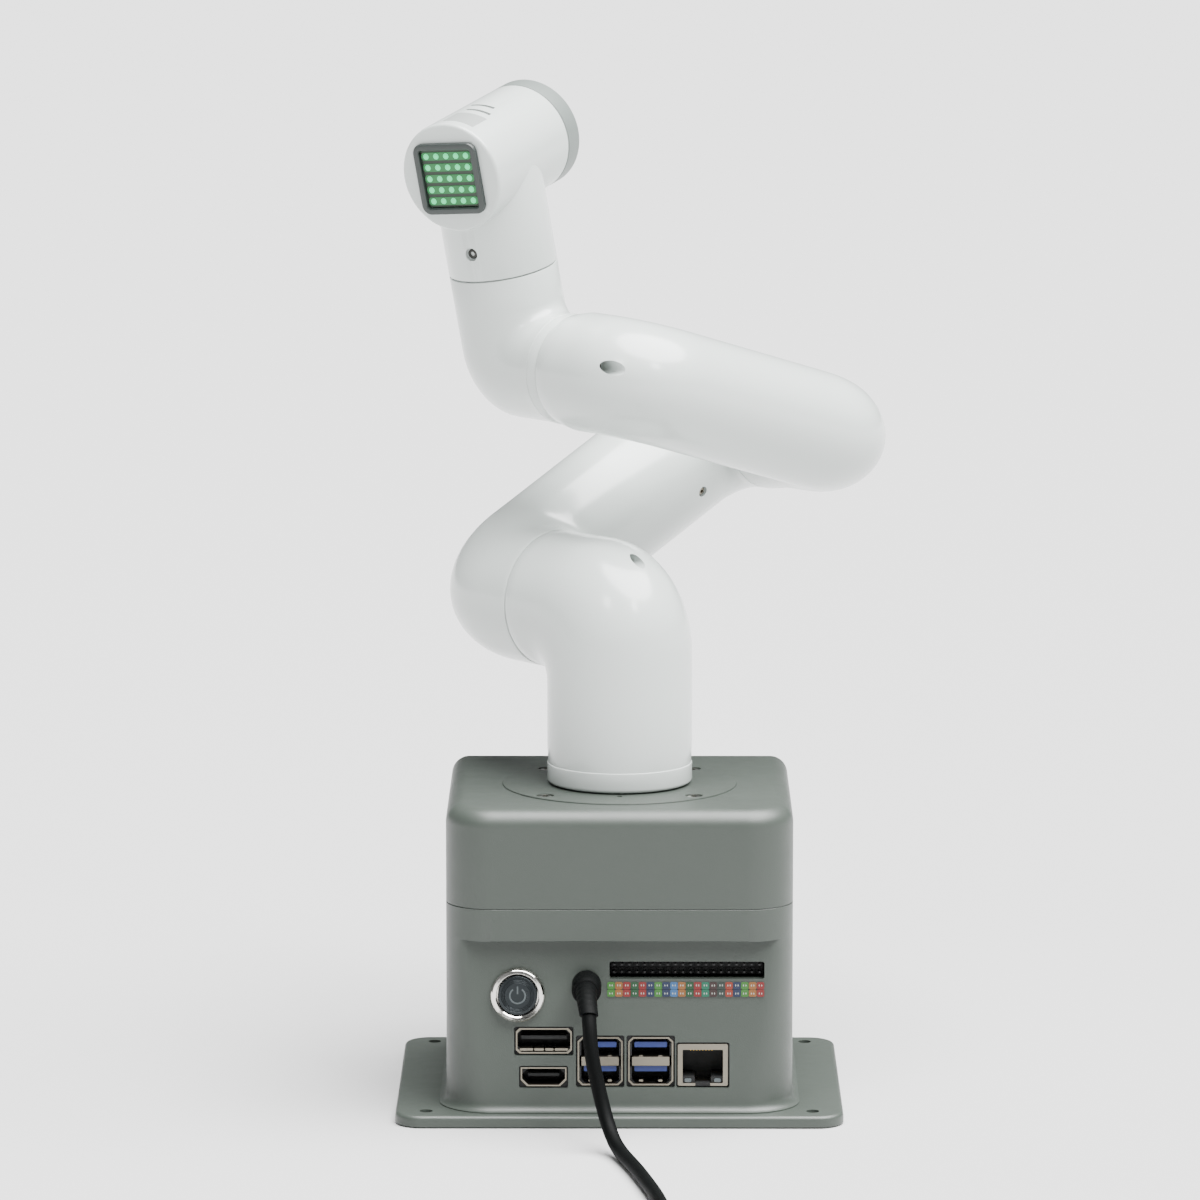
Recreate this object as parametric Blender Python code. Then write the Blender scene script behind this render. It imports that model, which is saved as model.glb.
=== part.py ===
"""A six-axis desktop robot arm on a single-board-computer base, as an assembly of separate pieces.

World frame: metres, +Z up, the origin on the underside under the first joint's axis, with the port
panel facing -Y. Sizes below are in millimetres and become metres in point() and turned().
"""

import math

import bmesh
import bpy
from mathutils import Matrix, Vector

MM = 0.001
GAP = 0.3            # clearance between pieces that touch
WALL = 2.2           # arm shell thickness
SIDES = 20           # facets round an arm tube
BEND_STEPS = 5       # sections round an elbow

# Base
BODY_WIDTH = 115.6
BODY_FRONT = -50.9
BODY_BACK = 57.1
BODY_WALL = 2.5
FRONT_CORNER = 16.0
BACK_CORNER = 6.0
BASE_TOP = 105.7
PARTING_Z = 72.6
TOP_FILLET = 6.0
PLATE_WIDTH = 149.2
PLATE_FRONT = -57.1
PLATE_BACK = 63.5
PLATE_THICK = 4.0
PLATE_CORNER = 9.0
FLARE = 4.0
FOOT_HOLE_X = 64.3
FOOT_HOLE_EDGE = 8.0
FOOT_HOLE_R = 2.2
LIP_Z = 61.7
PANEL_FOOT_Z = 8.0
PANEL_DEPTH = 4.0
COVER_THICK = 2.0
POST_R = 4.5

# First joint
RING_R = 39.5
RING_BORE = 16.6
RING_TOP = 106.2
RING_THICK = 2.2
RING_SCREW = 24.8    # screw centres lie at plus and minus this in X and Y

# Arm: joint axes and shell radii
COLUMN_R = 24.4
LINK2_R = 22.7
LINK3_R = 20.2
LINK4_R = 18.6
HEAD_R = 18.8
J2_SEAM_R = 23.5
J3_SEAM_R = 21.5
J4_SEAM_R = 18.9
J2_Z = 165.0
LINK2_LENGTH = 110.3
LINK3_LENGTH = 96.5
LINK4_LENGTH = 72.0
LINK2_OFFSET = 61.0      # where each link's centre line lies along the shoulder axis
LINK3_OFFSET = -1.7
LINK4_OFFSET = 59.5
J2_SEAM = 32.5
J3_SEAM = 32.5
J4_SEAM = 28.4
J5_SEAM = 38.0           # below the head's axis
HEAD_BACK = 22.8
HEAD_FRONT = 27.2
FLANGE_END = 33.0
INNER_FILLET = 4.0
OUTER_BEND = 34.0
LINK3_BEND = 32.0
LINK4_BEND = 21.8

# Rest pose, degrees from the straight-up pose
J1_ANGLE = 130.3
J2_ANGLE = 62.9
J3_ANGLE = -136.3
J4_ANGLE = 61.05
J5_ANGLE = -70.0

# Ports on the panel: centre x, centre z, width, height
PORTS = {
    "display_port": (-25.1, 27.8, 18.6, 8.6),
    "hdmi_port": (-25.2, 15.8, 15.2, 6.4),
    "usb_stack_left": (-6.4, 21.0, 15.0, 16.4),
    "usb_stack_right": (10.4, 21.0, 15.0, 16.4),
    "ethernet_jack": (27.7, 19.8, 16.6, 14.2),
}
HEADER_SLOT = (22.4, 51.5, 50.8, 5.2)
LABEL = (22.0, 45.2, 52.2, 5.0)
BUTTON = (-33.8, 43.3)
BUTTON_HOLE_R = 8.5
JACK = (-10.9, 47.0)
BOARD_Z = 10.8
BOARD_THICK = 1.6

# Power lead
CORD_R = 2.4
COIL_TURN_R = (19.2, 24.0, 28.8)
COIL_CENTRE = (-13.3, -236.0)
CORD_ROUTE = [
    (-10.0, -78.3, 42.6), (-9.7, -80.6, 38.8), (-9.3, -82.4, 33.4), (-8.4, -83.8, 27.2),
    (-6.9, -85.0, 20.6), (-5.3, -86.8, 14.2), (-3.5, -90.2, 8.6), (-1.6, -95.4, 4.8),
    (0.6, -102.5, 2.9), (3.0, -112.0, 2.4), (5.8, -125.0, 2.4), (8.6, -140.0, 2.4),
    (11.2, -155.0, 2.4), (13.3, -170.0, 2.4), (14.8, -186.0, 2.4), (15.4, -202.0, 2.4),
    (15.5, -218.8, 2.4),
]

MATERIALS = {
    "white_shell": ((0.80, 0.82, 0.81), 0.28, 0.0),
    "base_grey": ((0.15, 0.17, 0.15), 0.50, 0.0),
    "flange_grey": ((0.40, 0.42, 0.41), 0.40, 0.0),
    "dark_plastic": ((0.03, 0.03, 0.03), 0.45, 0.0),
    "steel": ((0.60, 0.60, 0.58), 0.30, 1.0),
    "chrome": ((0.80, 0.80, 0.80), 0.12, 1.0),
    "aluminium": ((0.70, 0.71, 0.72), 0.35, 1.0),
    "board_green": ((0.02, 0.12, 0.05), 0.50, 0.0),
    "led_green": ((0.03, 0.35, 0.16), 0.40, 0.0),
    "label_print": ((0.35, 0.30, 0.25), 0.55, 0.0),
    "cord_rubber": ((0.01, 0.012, 0.012), 0.60, 0.0),
    "bezel_grey": ((0.15, 0.17, 0.16), 0.45, 0.0),
}


def point(p):
    """A point in millimetres as a vector in metres."""
    return Vector(p) * MM


def clear_scene():
    for obj in list(bpy.data.objects):
        bpy.data.objects.remove(obj, do_unlink=True)


def make_material(name):
    colour, roughness, metallic = MATERIALS[name]
    material = bpy.data.materials.new(name)
    material.use_nodes = True
    shader = material.node_tree.nodes["Principled BSDF"]
    shader.inputs["Base Color"].default_value = (*colour, 1.0)
    shader.inputs["Roughness"].default_value = roughness
    shader.inputs["Metallic"].default_value = metallic
    return material


def material_named(name):
    return bpy.data.materials.get(name) or make_material(name)


def axis_empty(name, matrix, parent=None):
    """An empty on a joint's axis; its local Z is the axis."""
    empty = bpy.data.objects.new(name, None)
    bpy.context.scene.collection.objects.link(empty)
    empty.parent = parent
    empty.matrix_local = matrix
    return empty


def finish_mesh(name, bm, material, parent):
    bmesh.ops.recalc_face_normals(bm, faces=bm.faces)
    mesh = bpy.data.meshes.new(name)
    bm.to_mesh(mesh)
    bm.free()
    mesh.materials.append(material_named(material))
    mesh.shade_smooth()
    mesh.set_sharp_from_angle(angle=math.radians(35))
    obj = bpy.data.objects.new(name, mesh)
    bpy.context.scene.collection.objects.link(obj)
    obj.parent = parent
    return obj


def loft(name, rings, material, parent=None, inner=None):
    """Rings of points skinned in order, capped, or joined to inner rings as an open-ended shell."""
    bm = bmesh.new()
    outer_verts = [[bm.verts.new(point(p)) for p in ring] for ring in rings]
    skin(bm, outer_verts)
    if inner:
        inner_verts = [[bm.verts.new(point(p)) for p in ring] for ring in inner]
        skin(bm, inner_verts)
        skin(bm, [outer_verts[0], inner_verts[0]])
        skin(bm, [outer_verts[-1], inner_verts[-1]])
    else:
        bm.faces.new(outer_verts[0])
        bm.faces.new(outer_verts[-1])
    return finish_mesh(name, bm, material, parent)


def skin(bm, rows):
    for low, high in zip(rows[:-1], rows[1:]):
        for i in range(len(low)):
            j = (i + 1) % len(low)
            bm.faces.new((low[i], low[j], high[j], high[i]))


def circle(centre, u, v, ru, rv, sides=SIDES):
    """Points round an ellipse with half-axes ru along u and rv along v."""
    angles = [2 * math.pi * i / sides for i in range(sides)]
    return [centre + u * (ru * math.cos(t)) + v * (rv * math.sin(t)) for t in angles]


def bend(corner, leg1, leg2, r1, r2, outer_radius, inset=0.0):
    """Sections round a right-angle elbow, from the leg along leg1 to the leg along leg2.

    The sections turn about a line near the inner corner. The outer outline is a square corner rounded to
    outer_radius, and inset moves the whole surface inwards.
    """
    corner, leg1, leg2 = Vector(corner), Vector(leg1), Vector(leg2)
    across = leg1.cross(leg2)
    pivot = corner + leg1 * (r2 + INNER_FILLET) + leg2 * (r1 + INNER_FILLET)
    near = INNER_FILLET + inset
    wide1 = 2 * r1 + INNER_FILLET - inset
    wide2 = 2 * r2 + INNER_FILLET - inset
    rounding = outer_radius - inset
    rings = []
    for step in range(BEND_STEPS + 1):
        turn = 0.5 * math.pi * step / BEND_STEPS
        c, s = math.cos(turn), math.sin(turn)
        out = -(leg2 * c + leg1 * s)
        far = min(wide1 / max(c, 1e-9), wide2 / max(s, 1e-9))
        mid1, mid2 = wide1 - rounding, wide2 - rounding
        if s * far > mid2 and c * far > mid1:
            along = s * mid2 + c * mid1
            far = along + math.sqrt(along**2 - mid1**2 - mid2**2 + rounding**2)
        half_across = r1 * c**2 + r2 * s**2 - inset
        centre = pivot + out * (0.5 * (near + far))
        rings.append(circle(centre, out, across, 0.5 * (far - near), half_across))
    return rings


def end_ring(centre, out, across, radius):
    return [circle(Vector(centre), Vector(out), Vector(across), radius, radius)]


def slab(name, outline, z0, z1, material, parent=None):
    rings = [[(x, y, z) for x, y in outline] for z in (z0, z1)]
    return loft(name, rings, material, parent)


def rounded_outline(x0, x1, y0, y1, front, back, grow=0.0, steps=4):
    """A rectangle's outline with rounded corners, of one radius in front and one behind, grown outwards."""
    corners = [
        (x1 - back, y1 - back, back, 0), (x0 + back, y1 - back, back, 90),
        (x0 + front, y0 + front, front, 180), (x1 - front, y0 + front, front, 270),
    ]
    outline = []
    for cx, cy, radius, start in corners:
        for i in range(steps + 1):
            a = math.radians(start + 90 * i / steps)
            outline.append((cx + (radius + grow) * math.cos(a), cy + (radius + grow) * math.sin(a)))
    return outline


def body_outline(grow=0.0):
    half = BODY_WIDTH / 2
    return rounded_outline(-half, half, BODY_FRONT, BODY_BACK, FRONT_CORNER, BACK_CORNER, grow)


def cavity_outline(grow=0.0):
    half = BODY_WIDTH / 2 - BODY_WALL
    front = BODY_FRONT + PANEL_DEPTH + BODY_WALL
    return rounded_outline(-half, half, front, BODY_BACK - BODY_WALL, 12.0, 3.5, grow)


def box(name, low, high, material, parent=None):
    outline = [(low[0], low[1]), (high[0], low[1]), (high[0], high[1]), (low[0], high[1])]
    return slab(name, outline, low[2], high[2], material, parent)


def turned(name, profile, material, parent=None, centre=(0, 0, 0), axis=(0, 0, 1), sides=SIDES):
    """A solid turned about a line: profile is (radius, height) from one end of the axis to the other.

    A profile that starts and ends off the axis closes on itself, as a ring.
    """
    frame = Matrix.Translation(Vector(centre)) @ Vector(axis).to_track_quat("Z", "Y").to_matrix().to_4x4()
    bm = bmesh.new()
    rows = []
    for radius, height in profile:
        count = sides if radius > 0 else 1
        angles = [2 * math.pi * i / count for i in range(count)]
        places = [(radius * math.cos(t), radius * math.sin(t), height) for t in angles]
        rows.append([bm.verts.new(frame @ Vector(p) * MM) for p in places])
    if profile[0][0] > 0:
        rows.append(rows[0])
    for low, high in zip(rows[:-1], rows[1:]):
        for i in range(sides):
            j = (i + 1) % sides
            quad = [low[i % len(low)], low[j % len(low)], high[j % len(high)], high[i % len(high)]]
            bm.faces.new(list(dict.fromkeys(quad)))
    return finish_mesh(name, bm, material, parent)


def combine(obj, tool, operation):
    """Add or cut another solid, which stays in the file as a wire guide."""
    tool.name = f"guide_{len(bpy.data.objects)}"
    tool.hide_render = True
    tool.display_type = "WIRE"
    modifier = obj.modifiers.new(operation.lower(), "BOOLEAN")
    modifier.operation = operation
    modifier.solver = "EXACT"
    modifier.object = tool


def cut(obj, tool):
    combine(obj, tool, "DIFFERENCE")


def add(obj, tool):
    combine(obj, tool, "UNION")


def drill(centre, axis, radius, depth, parent=None, sides=10):
    """The cutter of a round hole from centre along axis."""
    profile = [(0, 0), (radius, 0), (radius, depth), (0, depth)]
    return turned("tool", profile, "steel", parent, centre, axis, sides)


def hole(obj, centre, axis, radius, depth, parent=None, sides=10):
    cut(obj, drill(centre, axis, radius, depth, parent, sides))


def cut_together(obj, tools):
    """Cut several overlapping tools in one step, joined first."""
    for tool in tools[1:]:
        add(tools[0], tool)
    cut(obj, tools[0])


def screw(name, centre, axis, head_r, head_h, shank_r, length, parent=None):
    """A machine screw: centre is the middle of the head's outer face, and axis points out of the head."""
    profile = [
        (0, -length), (shank_r, -length), (shank_r, -head_h), (head_r, -head_h), (head_r, 0), (0, 0),
    ]
    return turned(name, profile, "steel", parent, centre, axis, sides=10)


def panel_y(z):
    """Where the slanting port panel's face lies at a height."""
    return BODY_FRONT + PANEL_DEPTH * (z - PANEL_FOOT_Z) / (LIP_Z - PANEL_FOOT_Z)


def post_places():
    half = BODY_WIDTH / 2 - BODY_WALL
    front = BODY_FRONT + PANEL_DEPTH + BODY_WALL + 5.9
    back = BODY_BACK - BODY_WALL - 3.5
    return [(-half + 5.8, front), (half - 5.8, front), (half - 3.5, back), (-half + 3.5, back)]


def foot_hole_places():
    ys = (PLATE_FRONT + FOOT_HOLE_EDGE, PLATE_BACK - FOOT_HOLE_EDGE)
    return [(x, y) for x in (-FOOT_HOLE_X, FOOT_HOLE_X) for y in ys]


def build_lower_shell():
    flare = [(FLARE, 0), (FLARE, PLATE_THICK), (1.4, PLATE_THICK + 1.2), (0, PLATE_THICK + 4)]
    rings = [[(x, y, z) for x, y in body_outline(grow)] for grow, z in flare]
    rings.append([(x, y, PARTING_Z - GAP / 2) for x, y in body_outline()])
    shell = loft("base_lower_shell", rings, "base_grey")
    half = PLATE_WIDTH / 2
    plate = rounded_outline(-half, half, PLATE_FRONT, PLATE_BACK, PLATE_CORNER, PLATE_CORNER)
    add(shell, slab("tool", plate, 0, PLATE_THICK, "base_grey"))
    cut(shell, panel_wedge())
    cut(shell, slab("tool", cavity_outline(), -1, PARTING_Z + 1, "base_grey"))
    for x, y in post_places():
        post = [(0, COVER_THICK + GAP), (POST_R, COVER_THICK + GAP), (POST_R, 14), (0, 14)]
        add(shell, turned("tool", post, "base_grey", None, (x, y, 0), sides=16))
        hole(shell, (x, y, 0), (0, 0, 1), 1.5, 11)
    for x, y in foot_hole_places():
        hole(shell, (x, y, -1), (0, 0, 1), FOOT_HOLE_R, PLATE_THICK + 2)
    for x, z, width, height in list(PORTS.values()) + [HEADER_SLOT]:
        cut(shell, port_cutter(x, z, width + 2 * GAP, height + 2 * GAP))
    hole(shell, (BUTTON[0], BODY_FRONT - 2, BUTTON[1]), (0, 1, 0), BUTTON_HOLE_R, 12, sides=20)
    hole(shell, (JACK[0], BODY_FRONT - 2, JACK[1]), (0, 1, 0), 3.4, 12)


def panel_wedge():
    """The wedge taken off the front wall: deepest under the lip, nothing at its foot."""
    out = BODY_FRONT - 1
    under_lip = (BODY_FRONT + PANEL_DEPTH, LIP_Z)
    section = [(out, LIP_Z), under_lip, (BODY_FRONT, PANEL_FOOT_Z), (out, PANEL_FOOT_Z)]
    half = BODY_WIDTH / 2 + 1
    return loft("tool", [[(x, y, z) for y, z in section] for x in (-half, half)], "base_grey")


def port_cutter(x, z, width, height):
    low = (x - width / 2, BODY_FRONT - 2, z - height / 2)
    return box("tool", low, (x + width / 2, BODY_FRONT + 10, z + height / 2), "base_grey")


def build_upper_cover():
    steps = 3
    levels = [(0, PARTING_Z + GAP / 2)]
    for i in range(steps + 1):
        a = 0.5 * math.pi * i / steps
        levels.append((-TOP_FILLET * (1 - math.cos(a)), BASE_TOP - TOP_FILLET * (1 - math.sin(a))))
    rings = [[(x, y, z) for x, y in body_outline(grow)] for grow, z in levels]
    cover = loft("base_upper_cover", rings, "base_grey")
    inside = [(0, PARTING_Z - 1), (0, BASE_TOP - 8), (-3, BASE_TOP - 4.5)]
    rings = [[(x, y, z) for x, y in cavity_outline(grow)] for grow, z in inside]
    tools = [loft("tool", rings, "base_grey")]
    recess = [(0, RING_TOP - RING_THICK - GAP), (RING_R + GAP, RING_TOP - RING_THICK - GAP)]
    recess += [(RING_R + GAP, BASE_TOP + 1), (0, BASE_TOP + 1)]
    tools.append(turned("tool", recess, "base_grey", sides=32))
    tools.append(drill((0, 0, BASE_TOP - 9), (0, 0, 1), 31, 11, sides=32))
    for x, y in ring_screw_places():
        tools.append(drill((x, y, BASE_TOP - 9), (0, 0, 1), 1.6, 11.5))
    cut_together(cover, tools)


def ring_screw_places():
    return [(x, y) for y in (-RING_SCREW, RING_SCREW) for x in (-RING_SCREW, RING_SCREW)]


def build_bottom():
    cover = slab("base_bottom_cover", cavity_outline(-GAP), 0, COVER_THICK, "base_grey")
    for number, (x, y) in enumerate(post_places(), 1):
        hole(cover, (x, y, -1), (0, 0, 1), 1.5, 4)
        hole(cover, (x, y, -1), (0, 0, 1), 2.8, 2.2)
        screw(f"bottom_screw_{number}", (x, y, 0.1), (0, 0, -1), 2.4, 0.8, 1.15, 8)


def build_ring():
    low = RING_TOP - RING_THICK
    profile = [(RING_BORE, low), (RING_R, low), (RING_R, RING_TOP - 0.4), (RING_R - 0.4, RING_TOP)]
    profile.append((RING_BORE, RING_TOP))
    ring = turned("ring_plate", profile, "base_grey", sides=32)
    for number, (x, y) in enumerate(ring_screw_places(), 1):
        hole(ring, (x, y, low - 1), (0, 0, 1), 1.6, 4)
        hole(ring, (x, y, RING_TOP - 1.2), (0, 0, 1), 3.0, 2)
        screw(f"ring_screw_{number}", (x, y, RING_TOP - 0.1), (0, 0, 1), 2.7, 0.8, 1.3, 8)
    hole(ring, (0, -RING_SCREW - 1.5, low - 1), (0, 0, 1), 1.0, 4)


def build_port(name, x, z, width, height):
    """A metal-shelled connector with its socket open towards -Y."""
    front = panel_y(z) + 0.6
    rim = 0.7
    low = (x - width / 2, front, z - height / 2)
    port = box(name, low, (x + width / 2, front + 14, z + height / 2), "steel")
    cavities = [(z, height - 2 * rim)]
    if name.startswith("usb"):
        cavities = [(z + height / 4, height / 2 - 2), (z - height / 4, height / 2 - 2)]
    for middle, tall in cavities:
        low = (x - width / 2 + rim, front - 1, middle - tall / 2)
        cut(port, box("tool", low, (x + width / 2 - rim, front + 9, middle + tall / 2), "steel"))


def build_panel_pieces():
    for name, (x, z, width, height) in PORTS.items():
        build_port(name, x, z, width, height)
    x, z, width, height = HEADER_SLOT
    low = (x - width / 2, panel_y(z) + 1.8, z - height / 2)
    box("gpio_header", low, (x + width / 2, panel_y(z) + 10, z + height / 2), "dark_plastic")
    x, z, width, height = LABEL
    slope = PANEL_DEPTH / (LIP_Z - PANEL_FOOT_Z)
    section = []
    for out, rise in ((0.45, -height / 2), (0.45, height / 2), (0.15, height / 2), (0.15, -height / 2)):
        section.append((panel_y(z) + rise * slope - out, z + rise))
    rings = [[(x + side * width / 2, y, h) for y, h in section] for side in (-1, 1)]
    loft("pin_label_strip", rings, "label_print")
    x, z = JACK
    low, high = (x - 4.6, BODY_FRONT + 7, z - 5.5), (x + 4.6, BODY_FRONT + 20, z + 5.5)
    jack = box("dc_jack", low, high, "dark_plastic")
    hole(jack, (x, BODY_FRONT + 6, z), (0, 1, 0), 3.1, 10)


def build_button():
    """A latching metal push button square to the slanting panel; its axis empty's Z points outwards."""
    x, z = BUTTON
    slant = math.atan(PANEL_DEPTH / (LIP_Z - PANEL_FOOT_Z))
    place = Matrix.Translation(point((x, panel_y(z), z))) @ Matrix.Rotation(math.pi / 2 - slant, 4, "X")
    axis = axis_empty("axis_button", place)
    housing = [
        (0, -18), (7.7, -18), (7.7, 0.3), (9, 0.3), (9, 1.7), (8.5, 2.3), (6.95, 2.3), (6.95, -6), (0, -6),
    ]
    turned("button_housing", housing, "chrome", axis)
    turned("button_nut", [(8.0, -8.0), (10, -8.0), (10, -5.0), (8.0, -5.0)], "steel", axis, sides=6 * 4)
    cap = [(0, -4.6), (6.65, -4.6), (6.65, 2.2), (6.3, 2.6), (0, 2.6)]
    turned("button_cap", cap, "dark_plastic", axis)


def build_computer():
    low = (-44.5, BODY_FRONT + 8, BOARD_Z)
    board = box("computer_board", low, (44.5, BODY_FRONT + 88, BOARD_Z + BOARD_THICK), "board_green")
    top = BOARD_Z + BOARD_THICK
    for name, (x, z, width, height) in PORTS.items():
        bottom = z - height / 2
        if bottom < top + GAP:
            low = (x - width / 2 - GAP, BODY_FRONT, BOARD_Z - 1)
            high = (x + width / 2 + GAP, panel_y(z) + 15, top + 1)
            cut(board, box("tool", low, high, "board_green"))
    sink = box("heat_sink", (-30, -15, top + 3), (30, 28, top + 6), "aluminium")
    for i in range(7):
        x = -29 + i * 9.4
        add(sink, box("tool", (x, -15, top + 5), (x + 1.6, 28, top + 22), "aluminium"))
    add(sink, box("tool", (-10, -4, top + GAP), (10, 16, top + 4), "aluminium"))
    for number, (x, y) in enumerate(((-40, -20), (40, -20), (40, 33), (-40, 33)), 1):
        foot, head = COVER_THICK + GAP, BOARD_Z - GAP
        profile = [(0, foot), (2.6, foot), (2.6, head), (0, head)]
        turned(f"board_standoff_{number}", profile, "steel", None, (x, y, 0), sides=6)


def servo(name, parent, origin, out, up, size, start, end, boss_r, boss_end):
    """A geared servo: a box along out, from start to end, with a round output boss."""
    origin, out, up = Vector(origin), Vector(out), Vector(up)
    side = out.cross(up)
    wide, tall = size[0] / 2, size[1] / 2
    corners = [side * wide * a + up * tall * b for a, b in ((-1, -1), (1, -1), (1, 1), (-1, 1))]
    rings = [[origin + out * distance + corner for corner in corners] for distance in (start, end)]
    body = loft(name, rings, "dark_plastic", parent)
    profile = [(0, end - 1), (boss_r, end - 1), (boss_r, boss_end), (0, boss_end)]
    add(body, turned("tool", profile, "dark_plastic", parent, origin, out, sides=16))


def output_horn(name, parent, origin, out, low, high, radius):
    """The metal disc that carries a servo's output into the next link."""
    turned(name, [(0, low), (radius, low), (radius, high), (0, high)], "aluminium", parent, origin, out)


def build_base_drive():
    servo("j1_servo", None, (0, 0, 0), (0, 0, 1), (0, 1, 0), (30, 42), 58, 92, 11, 98.6)
    low, high = 98.9, RING_TOP - RING_THICK - GAP
    profile = [(14.4, low), (30.6, low), (30.6, high), (14.4, high)]
    turned("j1_bearing", profile, "steel")


def build_column(axis):
    """The first link: the column, turned by the base servo, with the shoulder servo in its elbow."""
    foot = RING_TOP + 0.4
    down, side, back = (0, 0, -1), (1, 0, 0), (0, -1, 0)

    def surface(inset):
        rings = end_ring((0, 0, foot), (-1, 0, 0), back, COLUMN_R - 0.7 - inset)
        rings += end_ring((0, 0, foot + 0.8), (-1, 0, 0), back, COLUMN_R - inset)
        rings += bend((0, 0, J2_Z), down, side, COLUMN_R, J2_SEAM_R, OUTER_BEND, inset)
        rings += end_ring((J2_SEAM - 0.2, 0, J2_Z), (0, 0, 1), back, J2_SEAM_R - inset)
        return rings

    shell = loft("column_shell", surface(0), "white_shell", axis, surface(WALL))
    out = Vector((-0.62, 0, 0.785))
    seat = Vector((0, 0, J2_Z)) + Vector((-11.2, 0, 17.2))
    hole(shell, seat - out * 1.6, out, 2.9, 8, axis)
    hole(shell, seat - out * 5, out, 1.5, 8, axis)
    screw("elbow_screw", seat - out * 0.6, out, 2.5, 0.8, 1.2, 6, axis)
    neck = 99.0
    low, high = foot + 0.4, foot + 3.4
    profile = [(0, neck), (14, neck), (14, low), (21.2, low), (21.2, high), (0, high)]
    turned("j1_output_adapter", profile, "aluminium", axis)
    servo("j2_servo", axis, (0, 0, J2_Z), (1, 0, 0), (0, 0, 1), (24, 30), 2, 28, 10, J2_SEAM - 0.7)


def build_link2(axis):
    """The upper arm, beside the column, with the elbow servo at its far end."""
    along, down, across = (1, 0, 0), (0, 0, -1), (0, -1, 0)

    def surface(inset):
        rings = end_ring((0, 0, J2_SEAM + 0.2), (-1, 0, 0), across, J2_SEAM_R - inset)
        rings += bend((0, 0, LINK2_OFFSET), down, along, J2_SEAM_R, LINK2_R, OUTER_BEND, inset)
        far = (LINK2_LENGTH, 0, LINK2_OFFSET)
        rings += bend(far, (-1, 0, 0), down, LINK2_R, J3_SEAM_R, OUTER_BEND, inset)
        rings += end_ring((LINK2_LENGTH, 0, J3_SEAM + 0.2), (1, 0, 0), across, J3_SEAM_R - inset)
        return rings

    shell = loft("link2_shell", surface(0), "white_shell", axis, surface(WALL))
    out = Vector((0, 0.28, -0.96))
    seat = Vector((76.5, 0, LINK2_OFFSET)) + out * LINK2_R
    hole(shell, seat - out * 1.6, out, 2.4, 4, axis)
    hole(shell, seat - out * 5, out, 1.5, 6, axis)
    screw("link2_screw", seat - out * 0.8, out, 2.0, 0.6, 1.2, 5, axis)
    output_horn("j2_horn", axis, (0, 0, 0), (0, 0, 1), J2_SEAM - 0.2, J2_SEAM + 3, 14)
    servo(
        "j3_servo", axis, (LINK2_LENGTH, 0, LINK2_OFFSET), down, along, (19, 26), -2, 23, 9,
        LINK2_OFFSET - J3_SEAM - 0.4,
    )


def build_link3(axis):
    """The forearm, back over the column, with the first wrist servo at its far end."""
    along, up, across = (1, 0, 0), (0, 0, 1), (0, 1, 0)

    def surface(inset):
        rings = end_ring((0, 0, J3_SEAM - 0.2), (-1, 0, 0), across, J3_SEAM_R - inset)
        rings += bend((0, 0, LINK3_OFFSET), up, along, LINK3_R, LINK3_R, LINK3_BEND, inset)
        far = (LINK3_LENGTH, 0, LINK3_OFFSET)
        rings += bend(far, (-1, 0, 0), up, LINK3_R, LINK3_R, LINK3_BEND, inset)
        rings += end_ring((LINK3_LENGTH, 0, J4_SEAM - 0.2), (1, 0, 0), across, J4_SEAM_R + 0.4 - inset)
        return rings

    shell = loft("link3_shell", surface(0), "white_shell", axis, surface(WALL))
    out = Vector((0.8, 0, -0.6))
    seat = Vector((LINK3_LENGTH + 13.6, 0, LINK3_OFFSET - 8.6))
    hole(shell, seat - out * 1.6, out, 2.9, 8, axis)
    hole(shell, seat - out * 5, out, 1.5, 8, axis)
    screw("link3_screw", seat - out * 0.6, out, 2.5, 0.8, 1.2, 6, axis)
    output_horn("j3_horn", axis, (0, 0, 0), (0, 0, 1), J3_SEAM - 3, J3_SEAM + 0.1, 13)
    servo(
        "j4_servo", axis, (LINK3_LENGTH, 0, LINK3_OFFSET), up, along, (17, 23), 0, 23, 8,
        J4_SEAM - LINK3_OFFSET - 0.5,
    )


def build_link4(axis):
    """The wrist elbow, with the second wrist servo pointing up into the head's neck."""
    along, down, across = (1, 0, 0), (0, 0, -1), (0, -1, 0)
    top = LINK4_LENGTH - J5_SEAM

    def surface(inset):
        rings = end_ring((0, 0, J4_SEAM + 0.2), (-1, 0, 0), across, J4_SEAM_R - inset)
        rings += bend((0, 0, LINK4_OFFSET), down, along, LINK4_R, LINK4_R, LINK4_BEND, inset)
        rings += end_ring((top - 0.2, 0, LINK4_OFFSET), (0, 0, 1), across, LINK4_R - inset)
        return rings

    loft("link4_shell", surface(0), "white_shell", axis, surface(WALL))
    output_horn("j4_horn", axis, (0, 0, 0), (0, 0, 1), J4_SEAM - 0.2, J4_SEAM + 3, 12)
    servo("j5_servo", axis, (0, 0, LINK4_OFFSET), along, (0, 0, 1), (18, 24), 0, top - 5, 8, top - 0.5)


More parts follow.
